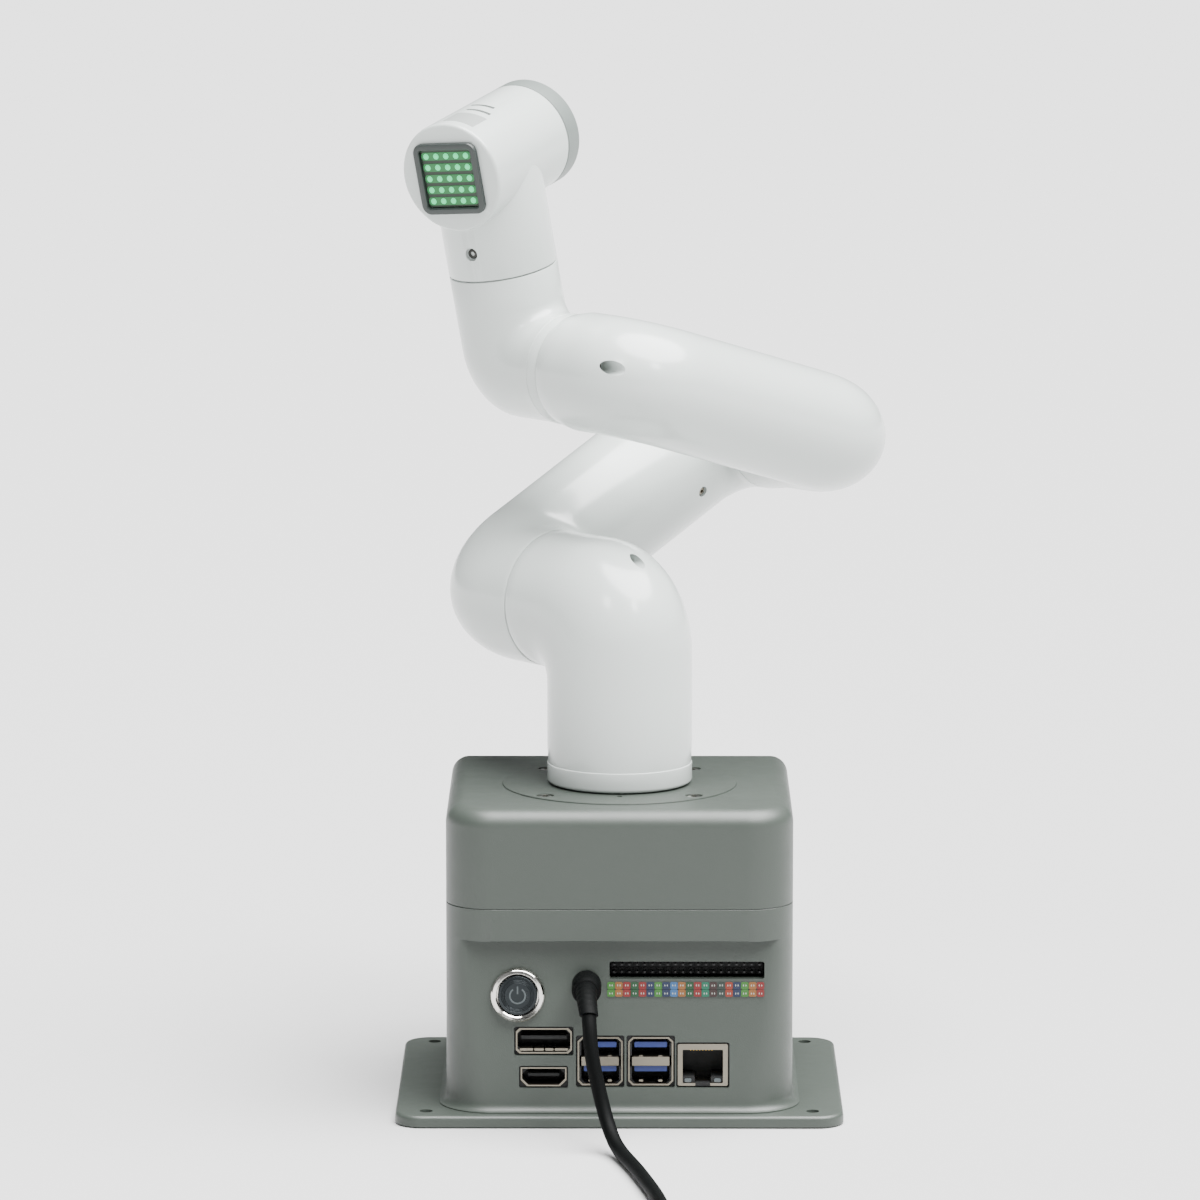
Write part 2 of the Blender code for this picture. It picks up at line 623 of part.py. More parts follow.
def build_head(axis):
    """The T-shaped head: its local Z is the neck's axis, and its X points to the tool flange."""
    flange_way = (1, 0, 0)
    rim = 1.2
    outline = [(0, -HEAD_BACK), (HEAD_R - rim, -HEAD_BACK), (HEAD_R, -HEAD_BACK + rim)]
    outline += [(HEAD_R, HEAD_FRONT), (0, HEAD_FRONT)]
    head = turned("head_shell", outline, "white_shell", axis, (0, 0, 0), flange_way, sides=24)
    neck = [(0, -J5_SEAM + 0.2), (LINK4_R, -J5_SEAM + 0.2), (LINK4_R, 0), (0, 0)]
    add(head, turned("tool", neck, "white_shell", axis, sides=20))
    bore = [(0, -HEAD_BACK + WALL), (HEAD_R - WALL, -HEAD_BACK + WALL), (HEAD_R - WALL, 40), (0, 40)]
    tools = [turned("tool", bore, "white_shell", axis, (0, 0, 0), flange_way, sides=24)]
    neck_r = LINK4_R - WALL - 0.4
    bore = [(0, -J5_SEAM - 1), (neck_r, -J5_SEAM - 1), (neck_r, -1), (0, -1)]
    tools.append(turned("tool", bore, "white_shell", axis, sides=20))
    low, high = (-HEAD_BACK - 1, -10.4, -10.4), (-HEAD_BACK + 4, 10.4, 10.4)
    tools.append(box("tool", low, high, "white_shell", axis))
    tools.append(drill((-LINK4_R + 5, 0, -28.2), (-1, 0, 0), 1.5, 8, axis))
    tools.append(drill((-LINK4_R + 1.4, 0, -28.2), (-1, 0, 0), 2.3, 4, axis))
    cut_together(head, tools)
    screw("neck_screw", (-LINK4_R + 0.8, 0, -28.2), (-1, 0, 0), 1.9, 0.6, 1.1, 5, axis)
    build_display(axis)
    output_horn("j5_horn", axis, (0, 0, 0), (0, 0, 1), -J5_SEAM - 0.2, -J5_SEAM + 2.6, 11)
    servo("j6_servo", axis, (0, 0, 0), flange_way, (0, 0, 1), (18, 24), -8, 18, 8, HEAD_FRONT - 0.8)


def build_display(axis):
    face = -HEAD_BACK
    bezel = rounded_outline(-12.3, 12.3, -12.3, 12.3, 3.4, 3.4, steps=4)
    rings = [[(x, y, z) for y, z in bezel] for x in (face - 1.9, face - GAP)]
    frame = loft("display_bezel", rings, "bezel_grey", axis)
    cut(frame, box("tool", (face - 3, -10.1, -10.1), (face, 10.1, 10.1), "bezel_grey", axis))
    box("led_matrix", (face - 0.9, -9.8, -9.8), (face + 0.9, 9.8, 9.8), "led_green", axis)
    box("control_board", (face + 1.2, -10, -10), (face + 2.8, 10, 10), "board_green", axis)


def build_flange(axis):
    low, high = HEAD_FRONT + 0.3, FLANGE_END
    profile = [(0, low), (HEAD_R, low), (HEAD_R, high - 0.8), (HEAD_R - 0.8, high), (0, high)]
    flange = turned("tool_flange", profile, "flange_grey", axis, sides=24)
    for turn in range(4):
        a = math.radians(45 + 90 * turn)
        hole(flange, (12 * math.cos(a), 12 * math.sin(a), high - 4), (0, 0, 1), 1.5, 6, axis)


def build_arm():
    j1 = axis_empty("axis_j1", Matrix.Rotation(math.radians(J1_ANGLE), 4, "Z"))
    build_column(j1)
    # swaps Z and X: the shoulder frame at zero has Z along the column's elbow and X straight up, and
    # the neck frame at zero has Z up the wrist and X along the shoulder axis
    swap = Matrix(((0, 0, 1, 0), (0, -1, 0, 0), (1, 0, 0, 0), (0, 0, 0, 1)))
    place = Matrix.Translation(point((0, 0, J2_Z))) @ swap @ Matrix.Rotation(math.radians(J2_ANGLE), 4, "Z")
    j2 = axis_empty("axis_j2", place, j1)
    build_link2(j2)
    place = Matrix.Translation(point((LINK2_LENGTH, 0, 0))) @ Matrix.Rotation(math.radians(J3_ANGLE), 4, "Z")
    j3 = axis_empty("axis_j3", place, j2)
    build_link3(j3)
    place = Matrix.Translation(point((LINK3_LENGTH, 0, 0))) @ Matrix.Rotation(math.radians(J4_ANGLE), 4, "Z")
    j4 = axis_empty("axis_j4", place, j3)
    build_link4(j4)
    place = Matrix.Translation(point((LINK4_LENGTH, 0, LINK4_OFFSET))) @ swap
    j5 = axis_empty("axis_j5", place @ Matrix.Rotation(math.radians(J5_ANGLE), 4, "Z"), j4)
    build_head(j5)
    j6 = axis_empty("axis_j6", Matrix.Rotation(math.pi / 2, 4, "Y"), j5)
    build_flange(j6)


def cord_curve(name, route, material="cord_rubber"):
    """A tube along a smooth curve through the route's points."""
    points = smooth_route(route)
    curve = bpy.data.curves.new(name, "CURVE")
    curve.dimensions = "3D"
    spline = curve.splines.new("POLY")
    spline.points.add(len(points) - 1)
    for target, place in zip(spline.points, points):
        target.co = (*(place * MM), 1)
    curve.bevel_depth = CORD_R * MM
    curve.bevel_resolution = 2
    curve.use_fill_caps = True
    curve.materials.append(material_named(material))
    obj = bpy.data.objects.new(name, curve)
    bpy.context.scene.collection.objects.link(obj)
    return obj


def smooth_route(route):
    """Points along a Catmull-Rom curve through the route, about one for each half step."""
    places = [Vector(p) for p in route]
    places = [2 * places[0] - places[1]] + places + [2 * places[-1] - places[-2]]
    points = []
    for before, start, end, after in zip(places, places[1:], places[2:], places[3:]):
        for t in (0.0, 0.5):
            pull = 2 * before - 5 * start + 4 * end - after
            swing = 3 * start - before - 3 * end + after
            points.append(0.5 * (2 * start + (end - before) * t + pull * t**2 + swing * t**3))
    points.append(places[-2])
    return points


def build_power_lead():
    x, z = JACK
    shoulder = panel_y(z) - 0.6
    length = 12.6
    profile = [(0, -9), (2.7, -9), (2.7, 0), (4.9, 0)]
    profile += [(4.9, length - 1.6), (4.3, length - 0.2), (3.7, length), (0, length)]
    turned("dc_plug", profile, "cord_rubber", None, (x, shoulder, z), (0, -1, 0), sides=20)
    start = Vector((x, shoulder - length - GAP, z))
    end = Vector(CORD_ROUTE[0]) + Vector((0, 0.25, 0.3))
    heading = (Vector(CORD_ROUTE[0]) - Vector(CORD_ROUTE[1])).normalized()
    rings = []
    steps = 5
    for i in range(steps + 1):
        t = i / steps
        control = start + Vector((0, -9, 0))
        middle = start * (1 - t) ** 2 + control * (2 * t * (1 - t)) + end * t**2
        way = Vector((0, 1, 0)).lerp(heading, t).normalized()
        across = Vector((1, 0, 0))
        radius = 3.6 - 0.7 * t
        rings.append(circle(middle, across, way.cross(across).normalized(), radius, radius, 12))
    loft("strain_relief", rings, "cord_rubber")
    cord_curve("power_cord", CORD_ROUTE)
    inner, outer = COIL_TURN_R[0] - CORD_R, COIL_TURN_R[-1] + CORD_R
    top = 4 * CORD_R
    profile = [(inner, 0), (outer, 0), (outer, top), (inner, top)]
    turned("cord_coil", profile, "cord_rubber", None, (*COIL_CENTRE, 0))
    tail_y = COIL_CENTRE[1] - COIL_TURN_R[-1]
    left = COIL_CENTRE[0]
    cord_curve("cord_tail", [(left - 18, tail_y, 6.0), (left - 21, tail_y, 5.4), (left - 24, tail_y, 5.0)])
    profile = [(0, 0), (3.2, 0), (4.8, 5), (4.8, 24), (3.1, 24), (3.1, 16), (0, 16)]
    turned("lead_connector", profile, "cord_rubber", None, (left - 24.3, tail_y, 4.9), (-1, 0, 0), sides=20)


def main():
    clear_scene()
    build_lower_shell()
    build_upper_cover()
    build_bottom()
    build_ring()
    build_panel_pieces()
    build_button()
    build_computer()
    build_base_drive()
    build_arm()
    build_power_lead()


main()
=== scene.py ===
"""The looks of a six-axis desktop robot arm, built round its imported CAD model.

Each piece is made in millimetres in its joint's own frame, on the CAD model's driving dimensions, and is
placed in world metres by make(). Finer shells stand for the faceted CAD ones.
"""

from math import atan, atan2, cos, pi, radians, sin, sqrt

import bmesh
import bpy
from mathutils import Matrix, Vector
from mathutils.bvhtree import BVHTree


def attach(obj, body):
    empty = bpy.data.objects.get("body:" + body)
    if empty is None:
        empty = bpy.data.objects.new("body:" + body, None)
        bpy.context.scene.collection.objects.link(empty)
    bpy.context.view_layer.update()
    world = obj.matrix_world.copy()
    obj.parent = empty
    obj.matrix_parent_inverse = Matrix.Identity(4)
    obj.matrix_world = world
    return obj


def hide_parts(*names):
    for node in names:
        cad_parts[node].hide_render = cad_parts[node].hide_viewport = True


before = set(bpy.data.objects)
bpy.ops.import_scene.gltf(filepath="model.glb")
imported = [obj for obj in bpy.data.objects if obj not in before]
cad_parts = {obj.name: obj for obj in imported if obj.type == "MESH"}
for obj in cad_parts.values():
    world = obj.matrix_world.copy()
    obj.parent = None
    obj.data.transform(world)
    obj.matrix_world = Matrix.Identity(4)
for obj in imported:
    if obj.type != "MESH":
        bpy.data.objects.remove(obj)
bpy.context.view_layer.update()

MM = 0.001
GAP = 0.3
WALL = 2.2
SIDES = 96
BEND_STEPS = 22
CORNER_STEPS = 14
SHARP_ANGLE = 32

# Base
BODY_WIDTH, BODY_FRONT, BODY_BACK, BODY_WALL = 115.6, -50.9, 57.1, 2.5
FRONT_CORNER, BACK_CORNER = 16.0, 6.0
BASE_TOP, PARTING_Z, TOP_FILLET = 105.7, 72.6, 6.0
PLATE_WIDTH, PLATE_FRONT, PLATE_BACK, PLATE_THICK, PLATE_CORNER = 149.2, -57.1, 63.5, 4.0, 9.0
FLARE = 4.0
FOOT_HOLE_X, FOOT_HOLE_EDGE, FOOT_HOLE_R = 64.3, 8.0, 2.2
LIP_Z, PANEL_FOOT_Z, PANEL_DEPTH = 61.7, 8.0, 4.0
RING_R, RING_BORE, RING_TOP, RING_THICK, RING_SCREW = 39.5, 16.6, 106.2, 2.2, 24.8

# Arm
COLUMN_R, LINK2_R, LINK3_R, LINK4_R, HEAD_R = 24.4, 22.7, 20.2, 18.6, 18.8
J2_SEAM_R, J3_SEAM_R, J4_SEAM_R = 23.5, 21.5, 18.9
J2_Z, LINK2_LENGTH, LINK3_LENGTH, LINK4_LENGTH = 165.0, 110.3, 96.5, 72.0
LINK2_OFFSET, LINK3_OFFSET, LINK4_OFFSET = 61.0, -1.7, 59.5
J2_SEAM, J3_SEAM, J4_SEAM, J5_SEAM = 32.5, 32.5, 28.4, 38.0
HEAD_BACK, HEAD_FRONT, FLANGE_END = 22.8, 27.2, 33.0
FLANGE_SKIRT = 2.2
INNER_FILLET, OUTER_BEND, LINK3_BEND, LINK4_BEND = 4.0, 34.0, 32.0, 21.8
J1_ANGLE, J2_ANGLE, J3_ANGLE, J4_ANGLE, J5_ANGLE = 130.3, 62.9, -136.3, 61.05, -70.0
LAP_OUT, LAP_IN = 1.6, 2.1
COLUMN_STEP_Z, LINK4_LINE_Z = 113.2, 33.0
NECK_SCREW_Z, NECK_FILLET, NECK_FILLET_BACK, BARREL_RIM = -28.2, 5.5, 2.8, 1.2
BEZEL_HALF, BEZEL_CORNER, OPENING_HALF, WINDOW_HALF = 12.3, 3.4, 10.4, 10.1
LED_HALF, LED_PITCH, LED_R, LED_ROWS = 9.8, 3.9, 1.05, 5
FLANGE_HOLES, FLANGE_HOLE_R, FLANGE_HOLE_DEPTH, FLANGE_CIRCLE_R = 4, 1.5, 4, 12

# Panel: centre x, centre z, width, height
PORTS = {
    "display_port": (-25.1, 27.8, 18.6, 8.6),
    "hdmi_port": (-25.2, 15.8, 15.2, 6.4),
    "usb_stack_left": (-6.4, 21.0, 15.0, 16.4),
    "usb_stack_right": (10.4, 21.0, 15.0, 16.4),
    "ethernet_jack": (27.7, 19.8, 16.6, 14.2),
}
HEADER_SLOT = (22.4, 51.5, 50.8, 5.2)
LABEL = (22.0, 45.2, 52.2, 5.0)
BUTTON = (-33.8, 43.3)
BUTTON_HOLE_R = 8.5
PORT_GAP, PORT_SET_BACK = 0.55, 0.6
PIN_PITCH, PIN_COLUMNS = 2.54, 20
JACK = (-10.9, 47.0)
JACK_HOLE_R = 3.4
PANEL_SLOPE = PANEL_DEPTH / (LIP_Z - PANEL_FOOT_Z)

# Power lead
CORD_R = 2.4
COIL_TURN_R = (19.2, 24.0, 28.8)
COIL_CENTRE = (-13.3, -236.0)
CORD_ROUTE = [
    (-10.0, -78.3, 42.6), (-9.7, -80.6, 38.8), (-9.3, -82.4, 33.4), (-8.4, -83.8, 27.2),
    (-6.9, -85.0, 20.6), (-5.3, -86.8, 14.2), (-3.5, -90.2, 8.6), (-1.6, -95.4, 4.8),
    (0.6, -102.5, 2.9), (3.0, -112.0, 2.4), (5.8, -125.0, 2.4), (8.6, -140.0, 2.4),
    (11.2, -155.0, 2.4), (13.3, -170.0, 2.4), (14.8, -186.0, 2.4), (15.4, -202.0, 2.4),
    (15.5, -218.8, 2.4),
]

# Stage
CAMERA_PLACE, CAMERA_TILT, CAMERA_TURN = (0.00126, -2.25888, 0.52851), 90 - 9.06, 0.2
CAMERA_LENS, CAMERA_SENSOR, CAMERA_REACH = 204.24, 36.0, 100.0
FLOOR_HALF, FLOOR_Z = 12.0, -0.0002
SKY_STRENGTH, SUN_ENERGY, SUN_ANGLE, SUN_TURN = 0.24, 19.0, 60, (6, 16)
WINDOW_SIZE, WINDOW_AIM = (0.22, 0.3), (0, 0, 0.2)

IDENTITY = Matrix.Identity(4)


# ---- materials


def linear(code):
    """A hex sRGB colour as linear RGBA."""
    channels = [int(code[i:i + 2], 16) / 255 for i in (1, 3, 5)]
    return (*[c / 12.92 if c <= 0.04045 else ((c + 0.055) / 1.055) ** 2.4 for c in channels], 1.0)


def scaled(colour, factor):
    return (*[min(1.0, c * factor) for c in colour[:3]], 1.0)


def new_material(name):
    material = bpy.data.materials.new(name)
    material.use_nodes = True
    return material, material.node_tree.nodes, material.node_tree.links


def noise(nodes, links, scale, detail=3.0, stretch=(1, 1, 1)):
    place = nodes.new("ShaderNodeTexCoord")
    mapping = nodes.new("ShaderNodeMapping")
    mapping.inputs["Scale"].default_value = stretch
    links.new(place.outputs["Object"], mapping.inputs["Vector"])
    texture = nodes.new("ShaderNodeTexNoise")
    texture.inputs["Scale"].default_value = scale
    texture.inputs["Detail"].default_value = detail
    links.new(mapping.outputs["Vector"], texture.inputs["Vector"])
    return texture.outputs["Fac"]


def mixed(nodes, links, factor, low, high):
    """Two colours mixed by another node's value."""
    mix = nodes.new("ShaderNodeMix")
    mix.data_type = "RGBA"
    mix.inputs["A"].default_value = low
    mix.inputs["B"].default_value = high
    links.new(factor, mix.inputs["Factor"])
    return mix


def finish(
    name, code, roughness, metallic=0.0, grain=2600, bump=0.05, variation=0.05, wear=0.12,
    coat=0.0, stretch=(1, 1, 1), specular=0.5, shade=1.0,
):
    """A moulded, cast or brushed surface: fine grain, colour drift, uneven gloss and paler worn edges."""
    colour = scaled(linear(code), shade)
    material, nodes, links = new_material(name)
    shader = nodes["Principled BSDF"]
    shader.inputs["Metallic"].default_value = metallic
    shader.inputs["Coat Weight"].default_value = coat
    shader.inputs["Coat Roughness"].default_value = 0.12
    shader.inputs["Specular IOR Level"].default_value = specular
    drift = noise(nodes, links, 28, 2.0)
    tint = mixed(nodes, links, drift, scaled(colour, 1 - variation), scaled(colour, 1 + variation))
    shape = nodes.new("ShaderNodeNewGeometry")
    edge = nodes.new("ShaderNodeMapRange")
    edge.inputs["From Min"].default_value = 0.53
    edge.inputs["From Max"].default_value = 0.62
    edge.inputs["To Max"].default_value = wear
    links.new(shape.outputs["Pointiness"], edge.inputs["Value"])
    worn = mixed(nodes, links, edge.outputs["Result"], colour, scaled(colour, 1.5))
    links.new(tint.outputs["Result"], worn.inputs["A"])
    links.new(worn.outputs["Result"], shader.inputs["Base Color"])
    gloss = nodes.new("ShaderNodeMapRange")
    gloss.inputs["To Min"].default_value = roughness * 0.85
    gloss.inputs["To Max"].default_value = min(1.0, roughness * 1.15)
    links.new(noise(nodes, links, 140, 4.0), gloss.inputs["Value"])
    links.new(gloss.outputs["Result"], shader.inputs["Roughness"])
    relief = nodes.new("ShaderNodeBump")
    relief.inputs["Strength"].default_value = bump
    relief.inputs["Distance"].default_value = 0.0004
    links.new(noise(nodes, links, grain, 4.0, stretch), relief.inputs["Height"])
    links.new(relief.outputs["Normal"], shader.inputs["Normal"])
    return material


def glowing_material(name, colour, strength):
    material, nodes, links = new_material(name)
    shader = nodes["Principled BSDF"]
    shader.inputs["Emission Color"].default_value = colour
    shader.inputs["Emission Strength"].default_value = strength
    shader.inputs["Coat Weight"].default_value = 0.15
    ramp = mixed(nodes, links, noise(nodes, links, 900), scaled(colour, 0.1), scaled(colour, 0.2))
    links.new(ramp.outputs["Result"], shader.inputs["Base Color"])
    return material


WHITE = finish(
    "white_gloss", "#C0C6C3", 0.25, grain=3200, bump=0.03, variation=0.012, coat=0.35,
)
BASE = finish(
    "base_moulded", "#373D38", 0.42, grain=3600, bump=0.16, variation=0.04, wear=0.12,
)
FLANGE = finish("flange_satin", "#6C7370", 0.42, grain=2400, bump=0.08, variation=0.03)
BEZEL = finish("bezel_satin", "#2A302E", 0.45, grain=3000, bump=0.10)
DARK = finish("dark_plastic", "#0D0F10", 0.42, grain=3000, bump=0.12, variation=0.2)
# Near-black plastic of the sockets and header, also used as painted shade on the collars in the gaps round
# the connectors.
BLACK_AND_GAP_SHADE = finish(
    "socket_black_and_gap_shade", "#030405", 0.7, grain=3000, bump=0.08, variation=0.2, wear=0.0,
)
STEEL = finish("plated_steel", "#7A756A", 0.30, 1.0, grain=900, bump=0.10, stretch=(1, 1, 9))
CHROME = finish(
    "polished_chrome", "#D8D6D0", 0.09, 1.0, grain=900, bump=0.015, variation=0.02,
)
ALUMINIUM = finish("machined_aluminium", "#C3C5C7", 0.34, 1.0, grain=1400, bump=0.12)
BOARD = finish("solder_mask", "#145232", 0.35, grain=1800, bump=0.10, coat=0.4)
BLUE = finish("usb_blue", "#122560", 0.42, grain=2600, bump=0.06)
CAP = finish("button_cap_metal", "#2C3032", 0.28, 0.8, grain=2400, bump=0.10)
MARK = finish("button_mark", "#4E5456", 0.35, 0.5, grain=2400, bump=0.08)
CORD = finish(
    "cord_jacket", "#020303", 0.62, grain=4200, bump=0.22, variation=0.12, specular=0.07,
)
SCREW = finish("blackened_steel", "#3A3A38", 0.38, 1.0, grain=1800, bump=0.10)
PIN = finish("gold_pin", "#C9A24A", 0.28, 1.0, grain=1800, bump=0.06)
PATCH = finish("grey_inlay", "#8A8E8C", 0.45, grain=3000, bump=0.06)
# Painted glow: the board and a strip behind each row of dots give off green light that stands for light from
# the dots; only the dots are lamps.
LED_BOARD_PAINTED_GLOW = glowing_material("led_board_painted_glow", (0.0, 0.02, 0.002, 1), 1.0)
LED_ROW_PAINTED_GLOW = glowing_material("led_row_painted_glow", (0.0, 0.22, 0.04, 1), 1.0)
LED = glowing_material("led_dot", (0.06, 0.9, 0.34, 1), 1.5)
INK = finish("label_ink", "#8E928C", 0.6, grain=3000, bump=0.04)
LABEL_COLOURS = {
    "green": "#4E9A3A", "orange": "#B9783A", "red": "#A52B2A", "pine": "#1F6136", "navy": "#22355F",
    "sky": "#4E86C6", "teal": "#1E8A68", "brown": "#4A2F2C", "slate": "#3A4A42", "rust": "#B9442C",
}
LABEL_ORDER = [
    "green", "orange", "red", "pine", "red", "navy", "green", "navy", "sky", "orange",
    "pine", "red", "teal", "brown", "slate", "rust", "navy", "green", "orange", "red",
]
CELLS = {
    name: finish(f"label_{name}", code, 0.45, grain=3000, bump=0.05, shade=0.3)
    for name, code in LABEL_COLOURS.items()
}

CARRIED_NODES = [
    (DARK, ["dc_jack"] + [f"j{i}_servo" for i in range(1, 7)]),
    (STEEL, ["j1_bearing", "button_nut"]),
    (STEEL, [f"{name}_{i}" for name in ("board_standoff", "bottom_screw") for i in range(1, 5)]),
    (ALUMINIUM, ["heat_sink", "j1_output_adapter"] + [f"j{i}_horn" for i in range(2, 6)]),
    (BOARD, ["computer_board", "control_board"]),
    (BASE, ["base_bottom_cover"]),
]


# ---- mesh helpers


def joint_frames():
    """Each body's own frame in millimetres, by the CAD model's chain of lengths and rest angles."""
    def about_z(angle):
        return Matrix.Rotation(radians(angle), 4, "Z")

    swap = Matrix(((0, 0, 1, 0), (0, -1, 0, 0), (1, 0, 0, 0), (0, 0, 0, 1)))
    frames = {"root": IDENTITY, "link1": about_z(J1_ANGLE)}
    frames["link2"] = frames["link1"] @ Matrix.Translation((0, 0, J2_Z)) @ swap @ about_z(J2_ANGLE)
    frames["link3"] = frames["link2"] @ Matrix.Translation((LINK2_LENGTH, 0, 0)) @ about_z(J3_ANGLE)
    frames["link4"] = frames["link3"] @ Matrix.Translation((LINK3_LENGTH, 0, 0)) @ about_z(J4_ANGLE)
    wrist = Matrix.Translation((LINK4_LENGTH, 0, LINK4_OFFSET))
    frames["head"] = frames["link4"] @ wrist @ swap @ about_z(J5_ANGLE)
    frames["flange"] = frames["head"] @ Matrix.Rotation(pi / 2, 4, "Y")
    return frames


FRAMES = joint_frames()


def panel_y(z):
    return BODY_FRONT + PANEL_DEPTH * (z - PANEL_FOOT_Z) / (LIP_Z - PANEL_FOOT_Z)


def button_frame():
    slant = atan(PANEL_SLOPE)
    x, z = BUTTON
    return Matrix.Translation((x, panel_y(z), z)) @ Matrix.Rotation(pi / 2 - slant, 4, "X")


def new_object(name, data):
    obj = bpy.data.objects.new(name, data)
    bpy.context.scene.collection.objects.link(obj)
    return obj


def shade(mesh):
    mesh.shade_smooth()
    mesh.set_sharp_from_angle(angle=radians(SHARP_ANGLE))


def make(name, bm, materials, body, stands_for=(), place=None):
    """The finished piece: in world metres, shaded smooth, on its body, and standing for its CAD nodes."""
    bmesh.ops.recalc_face_normals(bm, faces=bm.faces)
    bm.transform(Matrix.Scale(MM, 4) @ (FRAMES[body] if place is None else place))
    mesh = bpy.data.meshes.new(name)
    bm.to_mesh(mesh)
    bm.free()
    for material in materials:
        mesh.materials.append(material)
    shade(mesh)
    obj = new_object(name, mesh)
    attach(obj, body)
    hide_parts(*stands_for)
    return obj


def carve(obj, tool_bm, place):
    """Cuts the tool's closed shapes out of a piece."""
    bmesh.ops.recalc_face_normals(tool_bm, faces=tool_bm.faces)
    tool_bm.transform(Matrix.Scale(MM, 4) @ place)
    mesh = bpy.data.meshes.new("tool")
    tool_bm.to_mesh(mesh)
    tool_bm.free()
    tool = new_object("tool", mesh)
    modifier = obj.modifiers.new("carve", "BOOLEAN")
    modifier.operation = "DIFFERENCE"
    modifier.solver = "EXACT"
    modifier.object = tool
    bpy.context.view_layer.update()
    evaluated = obj.evaluated_get(bpy.context.evaluated_depsgraph_get())
    carved = bpy.data.meshes.new_from_object(evaluated)
    obj.modifiers.clear()
    obj.data = carved
    shade(carved)
    bpy.data.objects.remove(tool)


def skin(bm, rows, index=0):
    for low, high in zip(rows[:-1], rows[1:]):
        for i in range(len(low)):
            j = (i + 1) % len(low)
            bm.faces.new((low[i], low[j], high[j], high[i])).material_index = index


def loft(bm, rings, closed_loop=False, index=0):
    """Rings skinned in order: capped at both ends, or joined last to first as a hollow solid."""
    rows = [[bm.verts.new(p) for p in ring] for ring in rings]
    if closed_loop:
        rows.append(rows[0])
    else:
        bm.faces.new(rows[0]).material_index = index
        bm.faces.new(rows[-1]).material_index = index
    skin(bm, rows, index)


def ellipse(centre, u, v, ru, rv, sides=SIDES):
    angles = [2 * pi * i / sides for i in range(sides)]
    return [centre + u * (ru * cos(t)) + v * (rv * sin(t)) for t in angles]


def circle(centre, u, v, radius, sides=SIDES):
    return ellipse(centre, u, v, radius, radius, sides)


def upright_circle(z, across, radius):
    """A circle about Z that starts on the far side of X, as the elbows' sections do."""
    return circle(Vector((0, 0, z)), Vector((-1, 0, 0)), Vector(across), radius)


def level(outline, z):
    """An outline in X and Y, at one height."""
    return [Vector((x, y, z)) for x, y in outline]


def square(half):
    return [(-half, -half), (half, -half), (half, half), (-half, half)]


def quarter_turn(steps):
    return [0.5 * pi * i / steps for i in range(steps + 1)]


def polar(radius, angle, z):
    return Vector((radius * cos(angle), radius * sin(angle), z))


def rod(radius, low, high):
    """The profile of a plain cylinder."""
    return [(0, low), (radius, low), (radius, high), (0, high)]


def turned(bm, profile, centre=(0, 0, 0), axis=(0, 0, 1), sides=SIDES, index=0):
    """A solid turned about a line; a profile that starts off the axis closes on itself as a ring."""
    place = Matrix.Translation(Vector(centre)) @ Vector(axis).to_track_quat("Z", "Y").to_matrix().to_4x4()
    rows = []
    for radius, height in profile:
        count = sides if radius > 0 else 1
        angles = [2 * pi * i / count for i in range(count)]
        rows.append([bm.verts.new(place @ polar(radius, t, height)) for t in angles])
    if profile[0][0] > 0:
        rows.append(rows[0])
    for low, high in zip(rows[:-1], rows[1:]):
        for i in range(sides):
            j = (i + 1) % sides
            quad = [low[i % len(low)], low[j % len(low)], high[j % len(high)], high[i % len(high)]]
            bm.faces.new(list(dict.fromkeys(quad))).material_index = index


def rounded_outline(x0, x1, y0, y1, front, back, grow=0.0, steps=CORNER_STEPS):
    corners = [
        (x1 - back, y1 - back, back, 0), (x0 + back, y1 - back, back, 90),
        (x0 + front, y0 + front, front, 180), (x1 - front, y0 + front, front, 270),
    ]
    outline = []
    for cx, cy, radius, start in corners:
        for i in range(steps + 1):
            a = radians(start + 90 * i / steps)
            outline.append((cx + (radius + grow) * cos(a), cy + (radius + grow) * sin(a)))
    return outline


def body_outline(grow=0.0):
    half = BODY_WIDTH / 2
    return rounded_outline(-half, half, BODY_FRONT, BODY_BACK, FRONT_CORNER, BACK_CORNER, grow)


def cavity_outline(grow=0.0):
    half = BODY_WIDTH / 2 - BODY_WALL
    front = BODY_FRONT + PANEL_DEPTH + BODY_WALL
    return rounded_outline(-half, half, front, BODY_BACK - BODY_WALL, 12.0, 3.5, grow)


def prism(bm, outline, low, high, index=0):
    """An outline in X and Z, drawn out along Y from low to high."""
    loft(bm, [[Vector((x, y, z)) for x, z in outline] for y in (low, high)], index=index)


def hollow_prism(bm, outer, inner, low, high, index=0):
    rings = [[Vector((x, low, z)) for x, z in outer], [Vector((x, high, z)) for x, z in outer]]
    rings += [[Vector((x, high, z)) for x, z in inner], [Vector((x, low, z)) for x, z in inner]]
    loft(bm, rings, closed_loop=True, index=index)


def block(bm, low, high, index=0, chamfer=0.0):
    """A block with its edges along Y cut off."""
    prism(bm, cut_outline(low[0], high[0], low[2], high[2], chamfer), low[1], high[1], index)


def cut_outline(x0, x1, z0, z1, cut):
    """A rectangle with cut corners, or a plain one where cut is nothing."""
    if cut <= 0:
        return [(x0, z0), (x1, z0), (x1, z1), (x0, z1)]
    return [
        (x0 + cut, z0), (x1 - cut, z0), (x1, z0 + cut), (x1, z1 - cut),
        (x1 - cut, z1), (x0 + cut, z1), (x0, z1 - cut), (x0, z0 + cut),
    ]


# ---- base


def smooth_max(a, b, blend=1.2):
    """The larger value, rounded over where the two are close."""
    mix = max(0.0, min(1.0, 0.5 + 0.5 * (b - a) / blend))
    return a * (1 - mix) + b * mix + blend * mix * (1 - mix)


